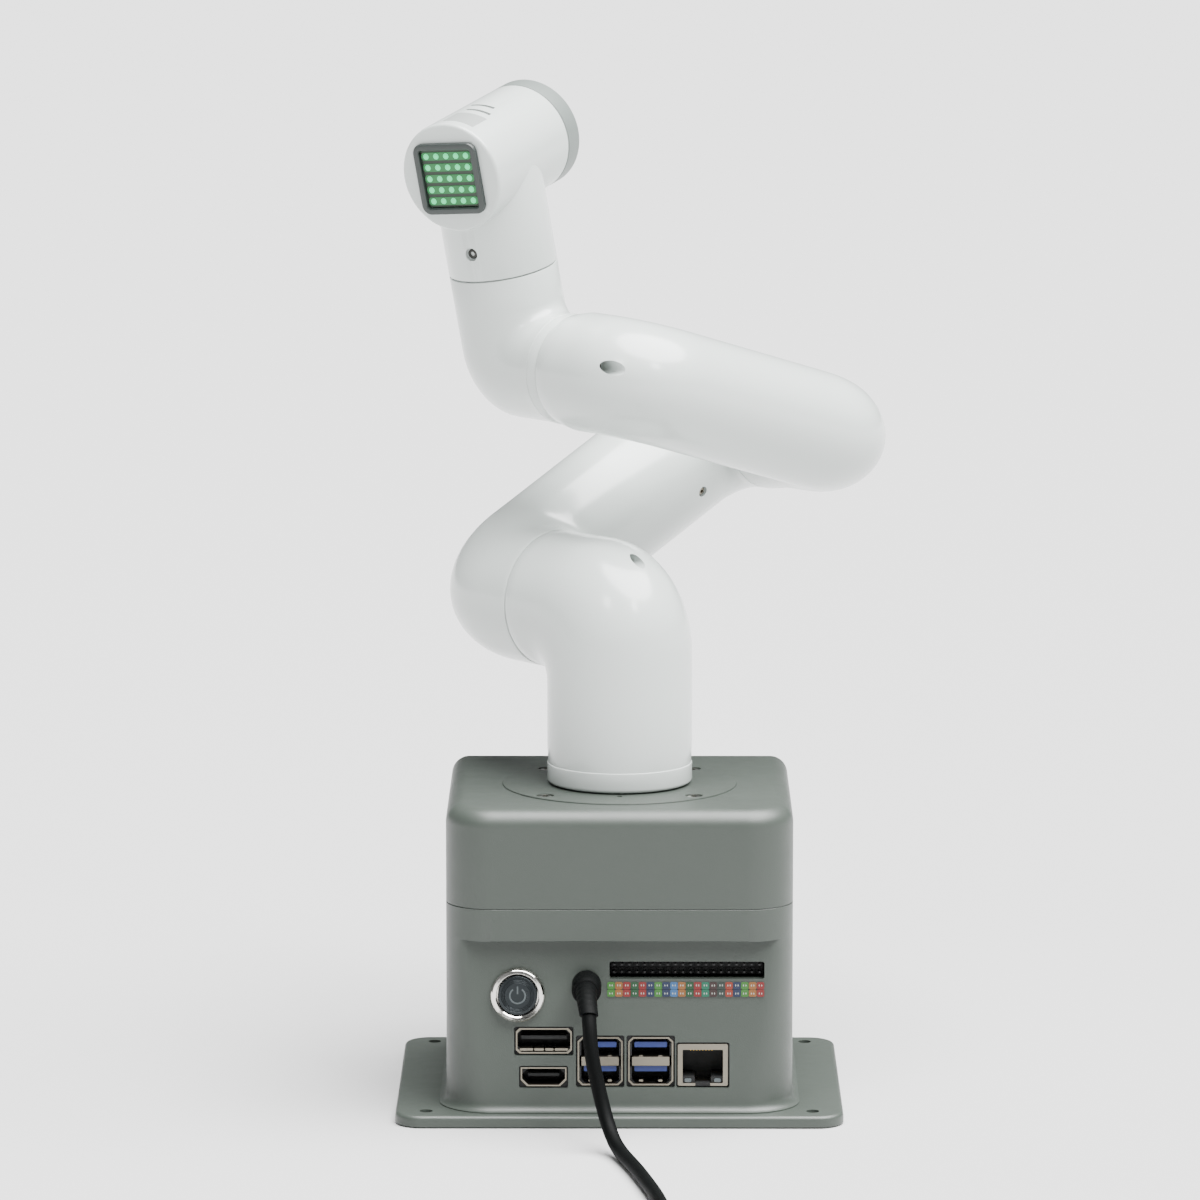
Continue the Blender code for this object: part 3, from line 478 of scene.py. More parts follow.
def panel_ring(grow, z, panel_z):
    """A body outline whose front is set back to the slanting panel."""
    depth = panel_y(panel_z)
    return [Vector((x, smooth_max(y, depth) if y < 0 else y, z)) for x, y in body_outline(grow)]


def foot_hole_places():
    ys = (PLATE_FRONT + FOOT_HOLE_EDGE, PLATE_BACK - FOOT_HOLE_EDGE)
    return [(x, y) for x in (-FOOT_HOLE_X, FOOT_HOLE_X) for y in ys]


def build_lower_shell():
    bm = bmesh.new()
    lap, flare = 1.4, 2.4
    rings = [level(body_outline(-BODY_WALL), 0.6)]
    rings += [level(body_outline(flare), PLATE_THICK - 0.6)]
    for a in quarter_turn(8):
        grow, rise = flare * (1 - sin(a)), (FLARE - 0.6) * (1 - cos(a))
        rings.append(level(body_outline(grow), PLATE_THICK + 0.4 + rise))
    for i in range(1, 15):
        z = PANEL_FOOT_Z + (LIP_Z - PANEL_FOOT_Z) * i / 14
        rings.append(panel_ring(0, z, z))
    rings.append([Vector((x, max(y, BODY_FRONT + 0.3), LIP_Z + 0.05)) for x, y in body_outline()])
    for grow, z in ((0, LIP_Z + 0.35), (0, PARTING_Z - 0.2), (-0.15, PARTING_Z - 0.06)):
        rings.append(level(body_outline(grow), z))
    for grow, z in ((-0.8, PARTING_Z - 0.06), (-0.8, PARTING_Z + lap)):
        rings.append(level(body_outline(grow), z))
    for z in (PARTING_Z + lap, 0.6):
        rings.append(level(cavity_outline(), z))
    loft(bm, rings, closed_loop=True)
    shell = make("base_lower_shell_fine", bm, [BASE], "root", ["base_lower_shell"])
    tools = bmesh.new()
    for x, z, width, height in list(PORTS.values()) + [HEADER_SLOT]:
        gap = PORT_GAP if height > HEADER_SLOT[3] else GAP
        low = (x - width / 2 - gap, BODY_FRONT - 3, z - height / 2 - gap)
        high = (x + width / 2 + gap, BODY_FRONT + 11, z + height / 2 + gap)
        block(tools, low, high, chamfer=0.5)
    hole = rod(BUTTON_HOLE_R, 0, 14)
    turned(tools, hole, (BUTTON[0], BODY_FRONT - 3, BUTTON[1]), (0, 1, 0), 48)
    hole = rod(JACK_HOLE_R, 0, 14)
    turned(tools, hole, (JACK[0], BODY_FRONT - 3, JACK[1]), (0, 1, 0), 32)
    carve(shell, tools, IDENTITY)


def build_foot_plate():
    """The plate round the foot, with a rounded top edge and four fixing holes."""
    bm = bmesh.new()
    half = PLATE_WIDTH / 2
    levels = [(-0.4, 0.0), (0.0, 0.4), (0.0, PLATE_THICK - 1.4)]
    for i in range(1, 7):
        a = 0.5 * pi * i / 6
        levels.append((-1.4 * (1 - cos(a)), PLATE_THICK - 1.4 * (1 - sin(a))))
    rings = []
    for grow, z in levels:
        outline = rounded_outline(-half, half, PLATE_FRONT, PLATE_BACK, PLATE_CORNER, PLATE_CORNER, grow)
        rings.append(level(outline, z))
    rings.append(level(body_outline(1.0), PLATE_THICK))
    rings.append(level(body_outline(-BODY_WALL + 0.4), PLATE_THICK - 1))
    rings.append(level(body_outline(-BODY_WALL + 0.4), 0))
    loft(bm, rings, closed_loop=True)
    plate = make("foot_plate", bm, [BASE], "root")
    tools = bmesh.new()
    for x, y in foot_hole_places():
        turned(tools, rod(FOOT_HOLE_R, -1, 6), (x, y, 0), sides=32)
    carve(plate, tools, IDENTITY)


def build_upper_cover():
    bm = bmesh.new()
    rings = [level(body_outline(-0.15), PARTING_Z + 0.06)]
    rings.append(level(body_outline(), PARTING_Z + 0.2))
    for a in quarter_turn(10):
        grow = -TOP_FILLET * (1 - cos(a))
        z = BASE_TOP - TOP_FILLET * (1 - sin(a))
        rings.append(level(body_outline(grow), z))
    seat_r, seat_z = RING_R + 0.25, RING_TOP - RING_THICK - GAP
    corners = [atan2(p.y, p.x) for p in rings[-1]]
    for radius, z in ((seat_r, BASE_TOP), (seat_r, seat_z), (31.0, seat_z), (31.0, BASE_TOP - 4.5)):
        rings.append([polar(radius, a, z) for a in corners])
    for grow, z in ((-3.0, BASE_TOP - 4.5), (-0.1, BASE_TOP - 8), (-0.1, PARTING_Z + 2)):
        rings.append(level(cavity_outline(grow), z))
    rings.append(level(body_outline(-0.7), PARTING_Z + 0.06))
    loft(bm, rings, closed_loop=True)
    make("base_upper_cover_fine", bm, [BASE], "root", ["base_upper_cover"])


def ring_screw_places():
    return [(x, y) for y in (-RING_SCREW, RING_SCREW) for x in (-RING_SCREW, RING_SCREW)]


def build_ring():
    bm = bmesh.new()
    low = RING_TOP - RING_THICK
    profile = [(RING_BORE, low), (RING_R, low), (RING_R, RING_TOP - 0.35), (RING_R - 0.12, RING_TOP - 0.1)]
    profile += [(RING_R - 0.4, RING_TOP), (RING_BORE, RING_TOP)]
    turned(bm, profile, sides=160)
    ring = make("ring_plate_fine", bm, [BASE], "root", ["ring_plate"])
    tools = bmesh.new()
    for x, y in ring_screw_places():
        turned(tools, rod(3.0, -1.2, 2), (x, y, RING_TOP), sides=32)
    turned(tools, rod(1.0, -1.5, 2), (0, -RING_SCREW - 1.5, RING_TOP), sides=24)
    carve(ring, tools, IDENTITY)


def build_screw(name, body, centre, axis, radius, stands_for, material=STEEL):
    """A domed screw head with a hexagonal socket."""
    bm = bmesh.new()
    profile = [(0, -4), (1.1, -4), (1.1, -0.8), (radius, -0.8), (radius, -0.35)]
    profile += [(radius * 0.92, -0.1), (radius * 0.75, 0.05), (0, 0.08)]
    turned(bm, profile, centre, axis, 40)
    head = make(name, bm, [material], body, stands_for)
    tool = bmesh.new()
    socket = radius * 0.5
    turned(tool, rod(socket, -0.7, 1), centre, axis, 6)
    carve(head, tool, FRAMES[body])


# ---- panel


def port_sizes(name):
    """A connector's centre, half width, half height and front face."""
    x, z, width, height = PORTS[name]
    return x, z, width / 2, height / 2, panel_y(z) + PORT_SET_BACK


def gap_shade_collar(bm, name, index):
    """A near-black collar behind a connector's mouth, seen in the gap round it: painted shade, a dark sheet
    where the gap would only be in shadow.
    """
    x, z, half, tall, front = port_sizes(name)
    reach = PORT_GAP - 0.1
    outer = cut_outline(x - half - reach, x + half + reach, z - tall - reach, z + tall + reach, 0.3)
    inner = cut_outline(x - half + 0.3, x + half - 0.3, z - tall + 0.3, z + tall - 0.3, 2.2)
    hollow_prism(bm, outer, inner, front + 0.5, front + 5, index)


def build_usb_stack(name):
    """Two stacked sockets: a folded metal shell, a pale band between them, blue tongues, contact springs."""
    x, z, half, tall, front = port_sizes(name)
    bm = bmesh.new()
    outer = cut_outline(x - half, x + half, z - tall, z + tall, 1.5)
    inner = cut_outline(x - half + 0.55, x + half - 0.55, z - tall + 0.55, z + tall - 0.55, 1.2)
    hollow_prism(bm, outer, inner, front, front + 13)
    block(bm, (x - half + 1.3, front + 0.05, z - 1.5), (x + half - 1.3, front + 12, z + 1.5), chamfer=0.2)
    block(bm, (x - half + 0.5, front + 9, z - tall + 0.5), (x + half - 0.5, front + 12.8, z + tall - 0.5), 1)
    for middle in (z + tall / 2, z - tall / 2):
        block(bm, (x - 5.4, front + 0.9, middle + 0.5), (x + 5.4, front + 9.2, middle + 2.3), 2, chamfer=0.25)
        for side in (-3.2, 3.2):
            low = (x + side - 0.7, front + 0.4, middle - 2.9)
            block(bm, low, (x + side + 0.7, front + 4, middle - 2.2), chamfer=0.2)
        for side in (-1, 1):
            low = (x + side * (half - 0.9) - 0.3, front + 0.3, middle - 2.2)
            block(bm, low, (x + side * (half - 0.9) + 0.3, front + 9, middle + 2.2), 1)
    gap_shade_collar(bm, name, 1)
    make(f"{name}_detail", bm, [STEEL, BLACK_AND_GAP_SHADE, BLUE], "root", [name])


def build_hdmi():
    x, z, half, tall, front = port_sizes("hdmi_port")

    def outline(inset):
        w, t, cut = half - inset, tall - inset, 2.1
        return [
            (x - w + cut, z - t), (x + w - cut, z - t), (x + w, z - t + cut),
            (x + w, z + t), (x - w, z + t), (x - w, z - t + cut),
        ]

    bm = bmesh.new()
    hollow_prism(bm, outline(0), outline(0.45), front, front + 12)
    prism(bm, outline(0.4), front + 8, front + 11.8, 1)
    block(bm, (x - 5.2, front + 1.6, z - 0.1), (x + 5.2, front + 8.2, z + 0.9), 1, chamfer=0.2)
    gap_shade_collar(bm, "hdmi_port", 1)
    make("hdmi_port_detail", bm, [STEEL, BLACK_AND_GAP_SHADE], "root", ["hdmi_port"])


def build_display_port():
    """A shell with its four corners cut, a wide dark mouth and a folded metal sill under it."""
    x, z, half, tall, front = port_sizes("display_port")

    def outline(inset):
        w, t, cut = half - inset, tall - inset, 1.2
        return [
            (x - w + cut, z - t), (x + w - cut, z - t), (x + w, z - t + cut), (x + w, z + t - cut),
            (x + w - cut, z + t), (x - w + cut, z + t), (x - w, z + t - cut), (x - w, z - t + cut),
        ]

    bm = bmesh.new()
    hollow_prism(bm, outline(0), outline(0.5), front, front + 12)
    prism(bm, outline(0.45), front + 8, front + 11.8, 1)
    block(bm, (x - 7.6, front + 1.4, z + 0.3), (x + 7.6, front + 8.2, z + 1.5), 1, chamfer=0.2)
    for start, stop in ((-8.0, -3.6), (-3.2, 0.0), (0.4, 3.2), (3.6, 8.0)):
        low = (x + start, front + 0.3, z - tall + 0.9)
        block(bm, low, (x + stop, front + 7, z - tall + 1.7), chamfer=0.2)
    gap_shade_collar(bm, "display_port", 1)
    make("display_port_detail", bm, [STEEL, BLACK_AND_GAP_SHADE], "root", ["display_port"])


def build_ethernet():
    """A metal-fronted jack: a dark cavity with steps beside the latch way, and two small indicators."""
    x, z, half, tall, front = port_sizes("ethernet_jack")
    bm = bmesh.new()
    outer = cut_outline(x - half, x + half, z - tall, z + tall, 0.4)
    inner = cut_outline(x - half + 1.6, x + half - 1.6, z - tall + 0.9, z + tall - 2.0, 0.2)
    hollow_prism(bm, outer, inner, front, front + 13)
    block(bm, (x - half + 1.5, front + 10, z - tall + 0.8), (x + half - 1.5, front + 12.8, z + tall - 1.9), 1)
    for side in (-1, 1):
        low, high = sorted((x + side * 2.7, x + side * (half - 1.5)))
        block(bm, (low, front + 0.8, z - tall + 0.8), (high, front + 10, z - tall + 3.0), 1, chamfer=0.3)
        middle = x + side * (half - 3.4)
        low = (middle - 1.1, front + 0.5, z - tall + 1.1)
        block(bm, low, (middle + 1.1, front + 2, z - tall + 2.4), 2, chamfer=0.3)
    block(bm, (x - 2.5, front - 0.02, z - tall - 0.02), (x + 2.5, front + 3, z - tall + 1.0), 1)
    for i in range(8):
        low = (x - 4.2 + i * 1.02, front + 3.5, z + tall - 2.9)
        block(bm, low, (x - 3.85 + i * 1.02, front + 9, z + tall - 2.1), 3)
    gap_shade_collar(bm, "ethernet_jack", 1)
    make("ethernet_jack_detail", bm, [STEEL, BLACK_AND_GAP_SHADE, MARK, PIN], "root", ["ethernet_jack"])


def build_header():
    """Two rows of twenty pins in a dark housing, set back in its slot."""
    x, z, width, height = HEADER_SLOT
    front = panel_y(z) + 1.8
    bm = bmesh.new()
    block(bm, (x - width / 2, front + 4.5, z - height / 2), (x + width / 2, front + 8, z + height / 2), 0)
    for column in range(PIN_COLUMNS):
        for row in (-0.5, 0.5):
            cx, cz = x + (column - 9.5) * PIN_PITCH, z + row * PIN_PITCH
            block(bm, (cx - 0.32, front + 1.2, cz - 0.32), (cx + 0.32, front + 5, cz + 0.32), 1, chamfer=0.12)
            block(bm, (cx - 1.1, front + 3.9, cz - 1.1), (cx + 1.1, front + 4.6, cz + 1.1), 0, chamfer=0.35)
    make("gpio_header_detail", bm, [BLACK_AND_GAP_SHADE, DARK], "root", ["gpio_header"])


def build_label():
    """A strip of small coloured cells, two to a pin column, each with two plain pale ticks."""
    x, z, width, height = LABEL
    pitch = width / len(LABEL_ORDER)
    names = list(LABEL_COLOURS)
    bm = bmesh.new()

    def tile(cx, cz, wide, tall, out, cut, index):
        face = panel_y(cz) - 0.12
        rings = []
        for depth in (0.0, out):
            outline = cut_outline(cx - wide / 2, cx + wide / 2, cz - tall / 2, cz + tall / 2, cut)
            rings.append([Vector((px, face - depth + (pz - cz) * PANEL_SLOPE, pz)) for px, pz in outline])
        loft(bm, rings, index=index)

    for column, colour in enumerate(LABEL_ORDER):
        for row in (-1, 1):
            cx = x + (column - 9.5) * pitch
            cz = z + row * height / 4
            tile(cx, cz, pitch - 0.12, height / 2 - 0.1, 0.22, 0.35, names.index(colour))
            for step in (-0.4, 0.4):
                tile(cx + step, cz + 0.1 * row, 0.3, 0.6, 0.26, 0.08, len(names))
    materials = [CELLS[name] for name in names] + [INK]
    make("pin_label_cells", bm, materials, "root", ["pin_label_strip"])


def build_button():
    place = button_frame()
    bm = bmesh.new()
    profile = [(0, -18), (7.7, -18), (7.7, 0.3), (9.0, 0.3), (9.0, 1.5), (8.8, 1.9), (8.3, 2.3), (7.4, 2.35)]
    profile += [(6.95, 2.0), (6.95, -6), (0, -6)]
    turned(bm, profile, sides=80)
    make("button_ring", bm, [CHROME], "root", ["button_housing"], place)
    bm = bmesh.new()
    cap = [(0, -4.6), (6.6, -4.6), (6.6, 2.0), (6.3, 2.35)]
    for radius in (5.4, 4.9, 4.4):
        cap += [(radius + 0.12, 2.42), (radius, 2.3), (radius - 0.12, 2.42)]
    cap.append((0, 2.45))
    turned(bm, cap, sides=72)
    steps, opening = 30, radians(70)
    for i in range(steps):
        a0, a1 = (pi / 2 + opening / 2 + (2 * pi - opening) * k / steps for k in (i, i + 1))
        corners = [(2.3, a0), (2.8, a0), (2.8, a1), (2.3, a1)]
        rings = [[polar(r, a, h) for r, a in corners] for h in (2.4, 2.56)]
        loft(bm, rings, index=1)
    bar = [(-0.25, 0.6), (0.25, 0.6), (0.25, 3.1), (-0.25, 3.1)]
    loft(bm, [[Vector((px, py, h)) for px, py in bar] for h in (2.4, 2.56)], index=1)
    make("button_cap_detail", bm, [CAP, MARK], "button", ["button_cap"], place)


# ---- arm


def bend(corner, leg1, leg2, r1, r2, outer_radius, inset=0.0):
    """Sections round a right-angle elbow, as in the CAD model, with more of them."""
    corner, leg1, leg2 = Vector(corner), Vector(leg1), Vector(leg2)
    across = leg1.cross(leg2)
    pivot = corner + leg1 * (r2 + INNER_FILLET) + leg2 * (r1 + INNER_FILLET)
    near = INNER_FILLET + inset
    wide1 = 2 * r1 + INNER_FILLET - inset
    wide2 = 2 * r2 + INNER_FILLET - inset
    rounding = outer_radius - inset
    mid1, mid2 = wide1 - rounding, wide2 - rounding
    rings = []
    for turn in quarter_turn(BEND_STEPS):
        c, s = cos(turn), sin(turn)
        out = -(leg2 * c + leg1 * s)
        far = min(wide1 / max(c, 1e-9), wide2 / max(s, 1e-9))
        if s * far > mid2 and c * far > mid1:
            along = s * mid2 + c * mid1
            far = along + sqrt(along**2 - mid1**2 - mid2**2 + rounding**2)
        half_across = r1 * c**2 + r2 * s**2 - inset
        centre = pivot + out * (0.5 * (near + far))
        rings.append(ellipse(centre, out, across, 0.5 * (far - near), half_across))
    return rings


def mouth(centre, inward, out, across, radius, inset, last=False):
    """A shell's end: a small edge radius where it meets the next shell."""
    centre, inward, out, across = Vector(centre), Vector(inward), Vector(out), Vector(across)
    edges = [(0.05, 0.3), (0.14, 0.10), (0.36, 0.0)]
    rings = [circle(centre + inward * back, out, across, radius - inset - lost) for back, lost in edges]
    return rings[::-1] if last else rings


def build_shell(name, body, surface, node, laps):
    """A shell between an outer and an inner surface, with a lap inside each seam."""
    bm = bmesh.new()
    loft(bm, surface(0) + surface(WALL)[::-1], closed_loop=True)
    for centre, axis, radius in laps:
        near, far = radius - LAP_IN, radius - LAP_OUT
        turned(bm, [(near, -2), (far, -2), (far, 0.4), (near, 0.4)], centre, axis)
    return make(name, bm, [WHITE], body, [node])


def column_surface(inset):
    foot = RING_TOP + 0.4
    down, side, back = (0, 0, -1), (1, 0, 0), (0, -1, 0)
    levels = [(foot, 1.0), (foot + 0.3, 0.45), (foot + 0.7, 0.14), (foot + 1.2, 0.0)]
    levels += [(COLUMN_STEP_Z, 0.0), (COLUMN_STEP_Z + 0.15, 0.3), (COLUMN_STEP_Z + 5.8, 0.0)]
    rings = [upright_circle(z, back, COLUMN_R - inset - lost) for z, lost in levels]
    rings += bend((0, 0, J2_Z), down, side, COLUMN_R, J2_SEAM_R, OUTER_BEND, inset)
    rings += mouth((J2_SEAM - 0.2, 0, J2_Z), (-1, 0, 0), (0, 0, 1), back, J2_SEAM_R, inset, last=True)
    return rings


def link2_surface(inset):
    along, down, across = (1, 0, 0), (0, 0, -1), (0, -1, 0)
    rings = mouth((0, 0, J2_SEAM + 0.2), (0, 0, 1), (-1, 0, 0), across, J2_SEAM_R, inset)
    rings += bend((0, 0, LINK2_OFFSET), down, along, J2_SEAM_R, LINK2_R, OUTER_BEND, inset)
    far = (LINK2_LENGTH, 0, LINK2_OFFSET)
    rings += bend(far, (-1, 0, 0), down, LINK2_R, J3_SEAM_R, OUTER_BEND, inset)
    end = (LINK2_LENGTH, 0, J3_SEAM + 0.2)
    rings += mouth(end, (0, 0, 1), along, across, J3_SEAM_R, inset, last=True)
    return rings


def link3_surface(inset):
    along, up, across = (1, 0, 0), (0, 0, 1), (0, 1, 0)
    rings = mouth((0, 0, J3_SEAM - 0.2), (0, 0, -1), (-1, 0, 0), across, J3_SEAM_R, inset)
    rings += bend((0, 0, LINK3_OFFSET), up, along, LINK3_R, LINK3_R, LINK3_BEND, inset)
    far = (LINK3_LENGTH, 0, LINK3_OFFSET)
    rings += bend(far, (-1, 0, 0), up, LINK3_R, LINK3_R, LINK3_BEND, inset)
    end = (LINK3_LENGTH, 0, J4_SEAM - 0.2)
    rings += mouth(end, (0, 0, -1), (1, 0, 0), across, J4_SEAM_R + 0.4, inset, last=True)
    return rings


def link4_surface(inset):
    along, down, across = (1, 0, 0), (0, 0, -1), (0, -1, 0)
    top = LINK4_LENGTH - J5_SEAM
    rings = mouth((0, 0, J4_SEAM + 0.2), (0, 0, 1), (-1, 0, 0), across, J4_SEAM_R, inset)
    for rise, lost in ((0.0, 0.0), (0.2, 0.25), (0.4, 0.0)):
        rings.append(upright_circle(LINK4_LINE_Z + rise, across, J4_SEAM_R - inset - lost))
    rings += bend((0, 0, LINK4_OFFSET), down, along, LINK4_R, LINK4_R, LINK4_BEND, inset)
    rings += mouth((top - 0.2, 0, LINK4_OFFSET), (-1, 0, 0), (0, 0, 1), across, LINK4_R, inset, last=True)
    return rings


def drill(start, way, radius, length):
    bm = bmesh.new()
    turned(bm, rod(radius, 0, length), start, way, 48)
    return bm


def build_slanting_pocket(shell, name, body, start, way, radius, floor):
    """A screw well bored into a rounded elbow at a slant, with a liner that meets the skin all round."""
    start, way = Vector(start), Vector(way)
    place = Matrix.Scale(MM, 4) @ FRAMES[body]
    u = Vector((0, 1, 0))
    v = way.cross(u)
    skin_tree = BVHTree.FromPolygons(
        [place.inverted() @ vertex.co for vertex in shell.data.vertices],
        [tuple(polygon.vertices) for polygon in shell.data.polygons],
    )

    def rim(r, below):
        points = circle(start, u, v, r, 48)
        return [p + way * (skin_tree.ray_cast(p, way)[3] + below) for p in points]

    bottom = start + way * floor
    outer_r = radius + 0.7
    bore = radius - 0.02
    rings = [circle(bottom, u, v, bore, 48), rim(bore, 0.04), rim(outer_r, 0.9)]
    rings.append(circle(bottom + way, u, v, outer_r, 48))
    bm = bmesh.new()
    loft(bm, rings)
    make(name, bm, [WHITE], body)
    carve(shell, drill(start, way, radius, floor - 0.5), FRAMES[body])


def build_column():
    laps = [((J2_SEAM - 0.2, 0, J2_Z), (1, 0, 0), J2_SEAM_R)]
    shell = build_shell("column_shell_fine", "link1", column_surface, "column_shell", laps)
    start = Vector((-30, 0, J2_Z + 17.6))
    way = Vector((1, 0, 0))
    build_slanting_pocket(shell, "elbow_screw_well", "link1", start, way, 2.1, 28)
    build_screw("elbow_screw_head", "link1", start + way * 27.9, -way, 1.9, ["elbow_screw"])


def build_link2():
    laps = [((LINK2_LENGTH, 0, J3_SEAM + 0.2), (0, 0, -1), J3_SEAM_R)]
    shell = build_shell("link2_shell_fine", "link2", link2_surface, "link2_shell", laps)
    out = Vector((0, 0.28, -0.96))
    seat = Vector((76.5, 0, LINK2_OFFSET)) + out * LINK2_R
    carve(shell, drill(seat - out * 1.6, out, 1.9, 4), FRAMES["link2"])
    build_screw("link2_screw_head", "link2", seat - out * 0.7, out, 1.5, ["link2_screw"])


def build_link3():
    laps = [((LINK3_LENGTH, 0, J4_SEAM - 0.2), (0, 0, 1), J4_SEAM_R)]
    shell = build_shell("link3_shell_fine", "link3", link3_surface, "link3_shell", laps)
    start = Vector((LINK3_LENGTH + 15.2, 1, -30))
    way = Vector((0, 0, 1))
    build_slanting_pocket(shell, "link3_screw_well", "link3", start, way, 2.4, 32)
    build_screw("link3_screw_head", "link3", start + way * 31.9, -way, 2.2, ["link3_screw"])


def build_link4():
    laps = [((LINK4_LENGTH - J5_SEAM - 0.2, 0, LINK4_OFFSET), (1, 0, 0), LINK4_R)]
    build_shell("link4_shell_fine", "link4", link4_surface, "link4_shell", laps)


def build_head():
    """The T-shaped head: a barrel, a neck that runs up into it, and a fillet where they meet."""
    bm = bmesh.new()
    profile = [(0, -HEAD_BACK)]
    for a in quarter_turn(6):
        radius = HEAD_R - BARREL_RIM + BARREL_RIM * sin(a)
        profile.append((radius, -HEAD_BACK + BARREL_RIM - BARREL_RIM * cos(a)))
    front = HEAD_FRONT - FLANGE_SKIRT
    profile += [(HEAD_R, front - 0.3), (HEAD_R - 0.25, front), (HEAD_R - WALL, front)]
    profile += [(HEAD_R - WALL, -HEAD_BACK + WALL), (0, -HEAD_BACK + WALL)]
    turned(bm, profile, (0, 0, 0), (1, 0, 0), 128)
    end = -J5_SEAM + 0.2
    neck_r = LINK4_R - WALL
    neck = [(LINK4_R - 0.28, end), (LINK4_R - 0.1, end + 0.1), (LINK4_R, end + 0.32), (LINK4_R, -1.5)]
    neck += [(neck_r, -1.5), (neck_r, end)]
    turned(bm, neck, sides=2 * SIDES)
    rows = []
    for i in range(2 * SIDES):
        t = pi * i / SIDES
        c, s = cos(t), sin(t)
        y = LINK4_R * s
        height = -sqrt(HEAD_R**2 - y**2)
        reach = NECK_FILLET_BACK if c < 0 else NECK_FILLET
        corner = Vector((LINK4_R * c, y, height))
        below = corner + Vector((0, 0, -NECK_FILLET))
        along = corner + Vector((reach * c, 0, 0))
        arc = []
        for step in range(25):
            u = step / 24
            arc.append(below * (1 - u) ** 2 + corner * (2 * u * (1 - u)) + along * u**2)
        inner = corner + Vector((-0.6 * c, -0.6 * s, 0.6))
        rows.append([bm.verts.new(p) for p in arc + [inner]])
    skin(bm, rows + [rows[0]])
    head = make("head_shell_fine", bm, [WHITE], "head", ["head_shell"])
    carve(head, head_tools(), FRAMES["head"])
    seat = (-LINK4_R + 0.9, 0, NECK_SCREW_Z)
    build_screw("neck_screw_head", "head", seat, (-1, 0, 0), 1.8, ["neck_screw"], SCREW)
    build_top_patch()


def head_tools():
    """The vents on top, the display's opening and the neck screw's recess."""
    tools = bmesh.new()
    for x, start, stop in ((0.5, -22, 7), (-5.0, -27, 2)):
        rings = []
        for i in range(13):
            a = radians(90 + start + (stop - start) * i / 12)
            out = Vector((0, -cos(a), sin(a)))
            left, right, low, high = x - 0.8, x + 0.8, HEAD_R - 3, HEAD_R + 2
            corners = [(left, low), (right, low), (right, high), (left, high)]
            rings.append([Vector((px, 0, 0)) + out * radius for px, radius in corners])
        loft(tools, rings)
    faces = (-HEAD_BACK - 1, -HEAD_BACK + 4)
    loft(tools, [[Vector((x, y, z)) for y, z in square(OPENING_HALF)] for x in faces])
    turned(tools, rod(2.3, 0, 6), (-LINK4_R + 1.4, 0, NECK_SCREW_Z), (-1, 0, 0), 32)
    return tools


def build_top_patch():
    """A pale grey inlay on top of the barrel, between the vents and the display's rim."""
    bm = bmesh.new()
    rows = []
    for i in range(15):
        a = radians(90 - 30 + 36 * i / 14)
        out = Vector((0, -cos(a), sin(a)))
        corners = [(-18.6, HEAD_R - 0.5), (-9.0, HEAD_R - 0.5), (-9.0, HEAD_R + 0.06), (-18.6, HEAD_R + 0.06)]
        rows.append([Vector((x, 0, 0)) + out * radius for x, radius in corners])
    loft(bm, rows)
    make("head_inlay", bm, [PATCH], "head")


def build_display():
    """The bezel, and a matrix of five by five lit dots behind it, with painted glow on the board and on a
    strip behind each row.
    """
    face = -HEAD_BACK
    bm = bmesh.new()
    rings = []
    for half, corner, levels in (
        (BEZEL_HALF, BEZEL_CORNER, [(0, GAP), (0, 1.3), (-0.2, 1.7), (-0.7, 1.9)]),
        (WINDOW_HALF, 1.0, [(0.4, 1.9), (0, 1.6), (0, GAP)]),
    ):
        for grow, out in levels:
            outline = rounded_outline(-half, half, -half, half, corner, corner, grow, 8)
            rings.append([Vector((face - out, y, z)) for y, z in outline])
    loft(bm, rings, closed_loop=True)
    make("display_frame", bm, [BEZEL], "head", ["display_bezel"])
    bm = bmesh.new()
    loft(bm, [[Vector((x, y, z)) for y, z in square(LED_HALF)] for x in (face - 0.5, face + 0.9)])
    dome = [(LED_R * cos(a), 0.6 * sin(a)) for a in quarter_turn(6)[:-1]]
    for row in range(LED_ROWS):
        z = (row - 2) * LED_PITCH
        # Painted glow: a lit strip behind each row of dots stands for light spilling from the dots onto the
        # board.
        row_glow_outline = rounded_outline(-LED_HALF + 0.2, LED_HALF - 0.2, z - 1.35, z + 1.35, 1.1, 1.1, steps=6)
        loft(bm, [[Vector((x, y, h)) for y, h in row_glow_outline] for x in (face - 0.7, face - 0.4)], index=1)
        for column in range(LED_ROWS):
            centre = (face - 0.65, (column - 2) * LED_PITCH, z)
            turned(bm, [(0, -0.2), (LED_R, -0.2)] + dome + [(0, 0.6)], centre, (-1, 0, 0), 24, 2)
    make("led_dots", bm, [LED_BOARD_PAINTED_GLOW, LED_ROW_PAINTED_GLOW, LED], "head", ["led_matrix"])


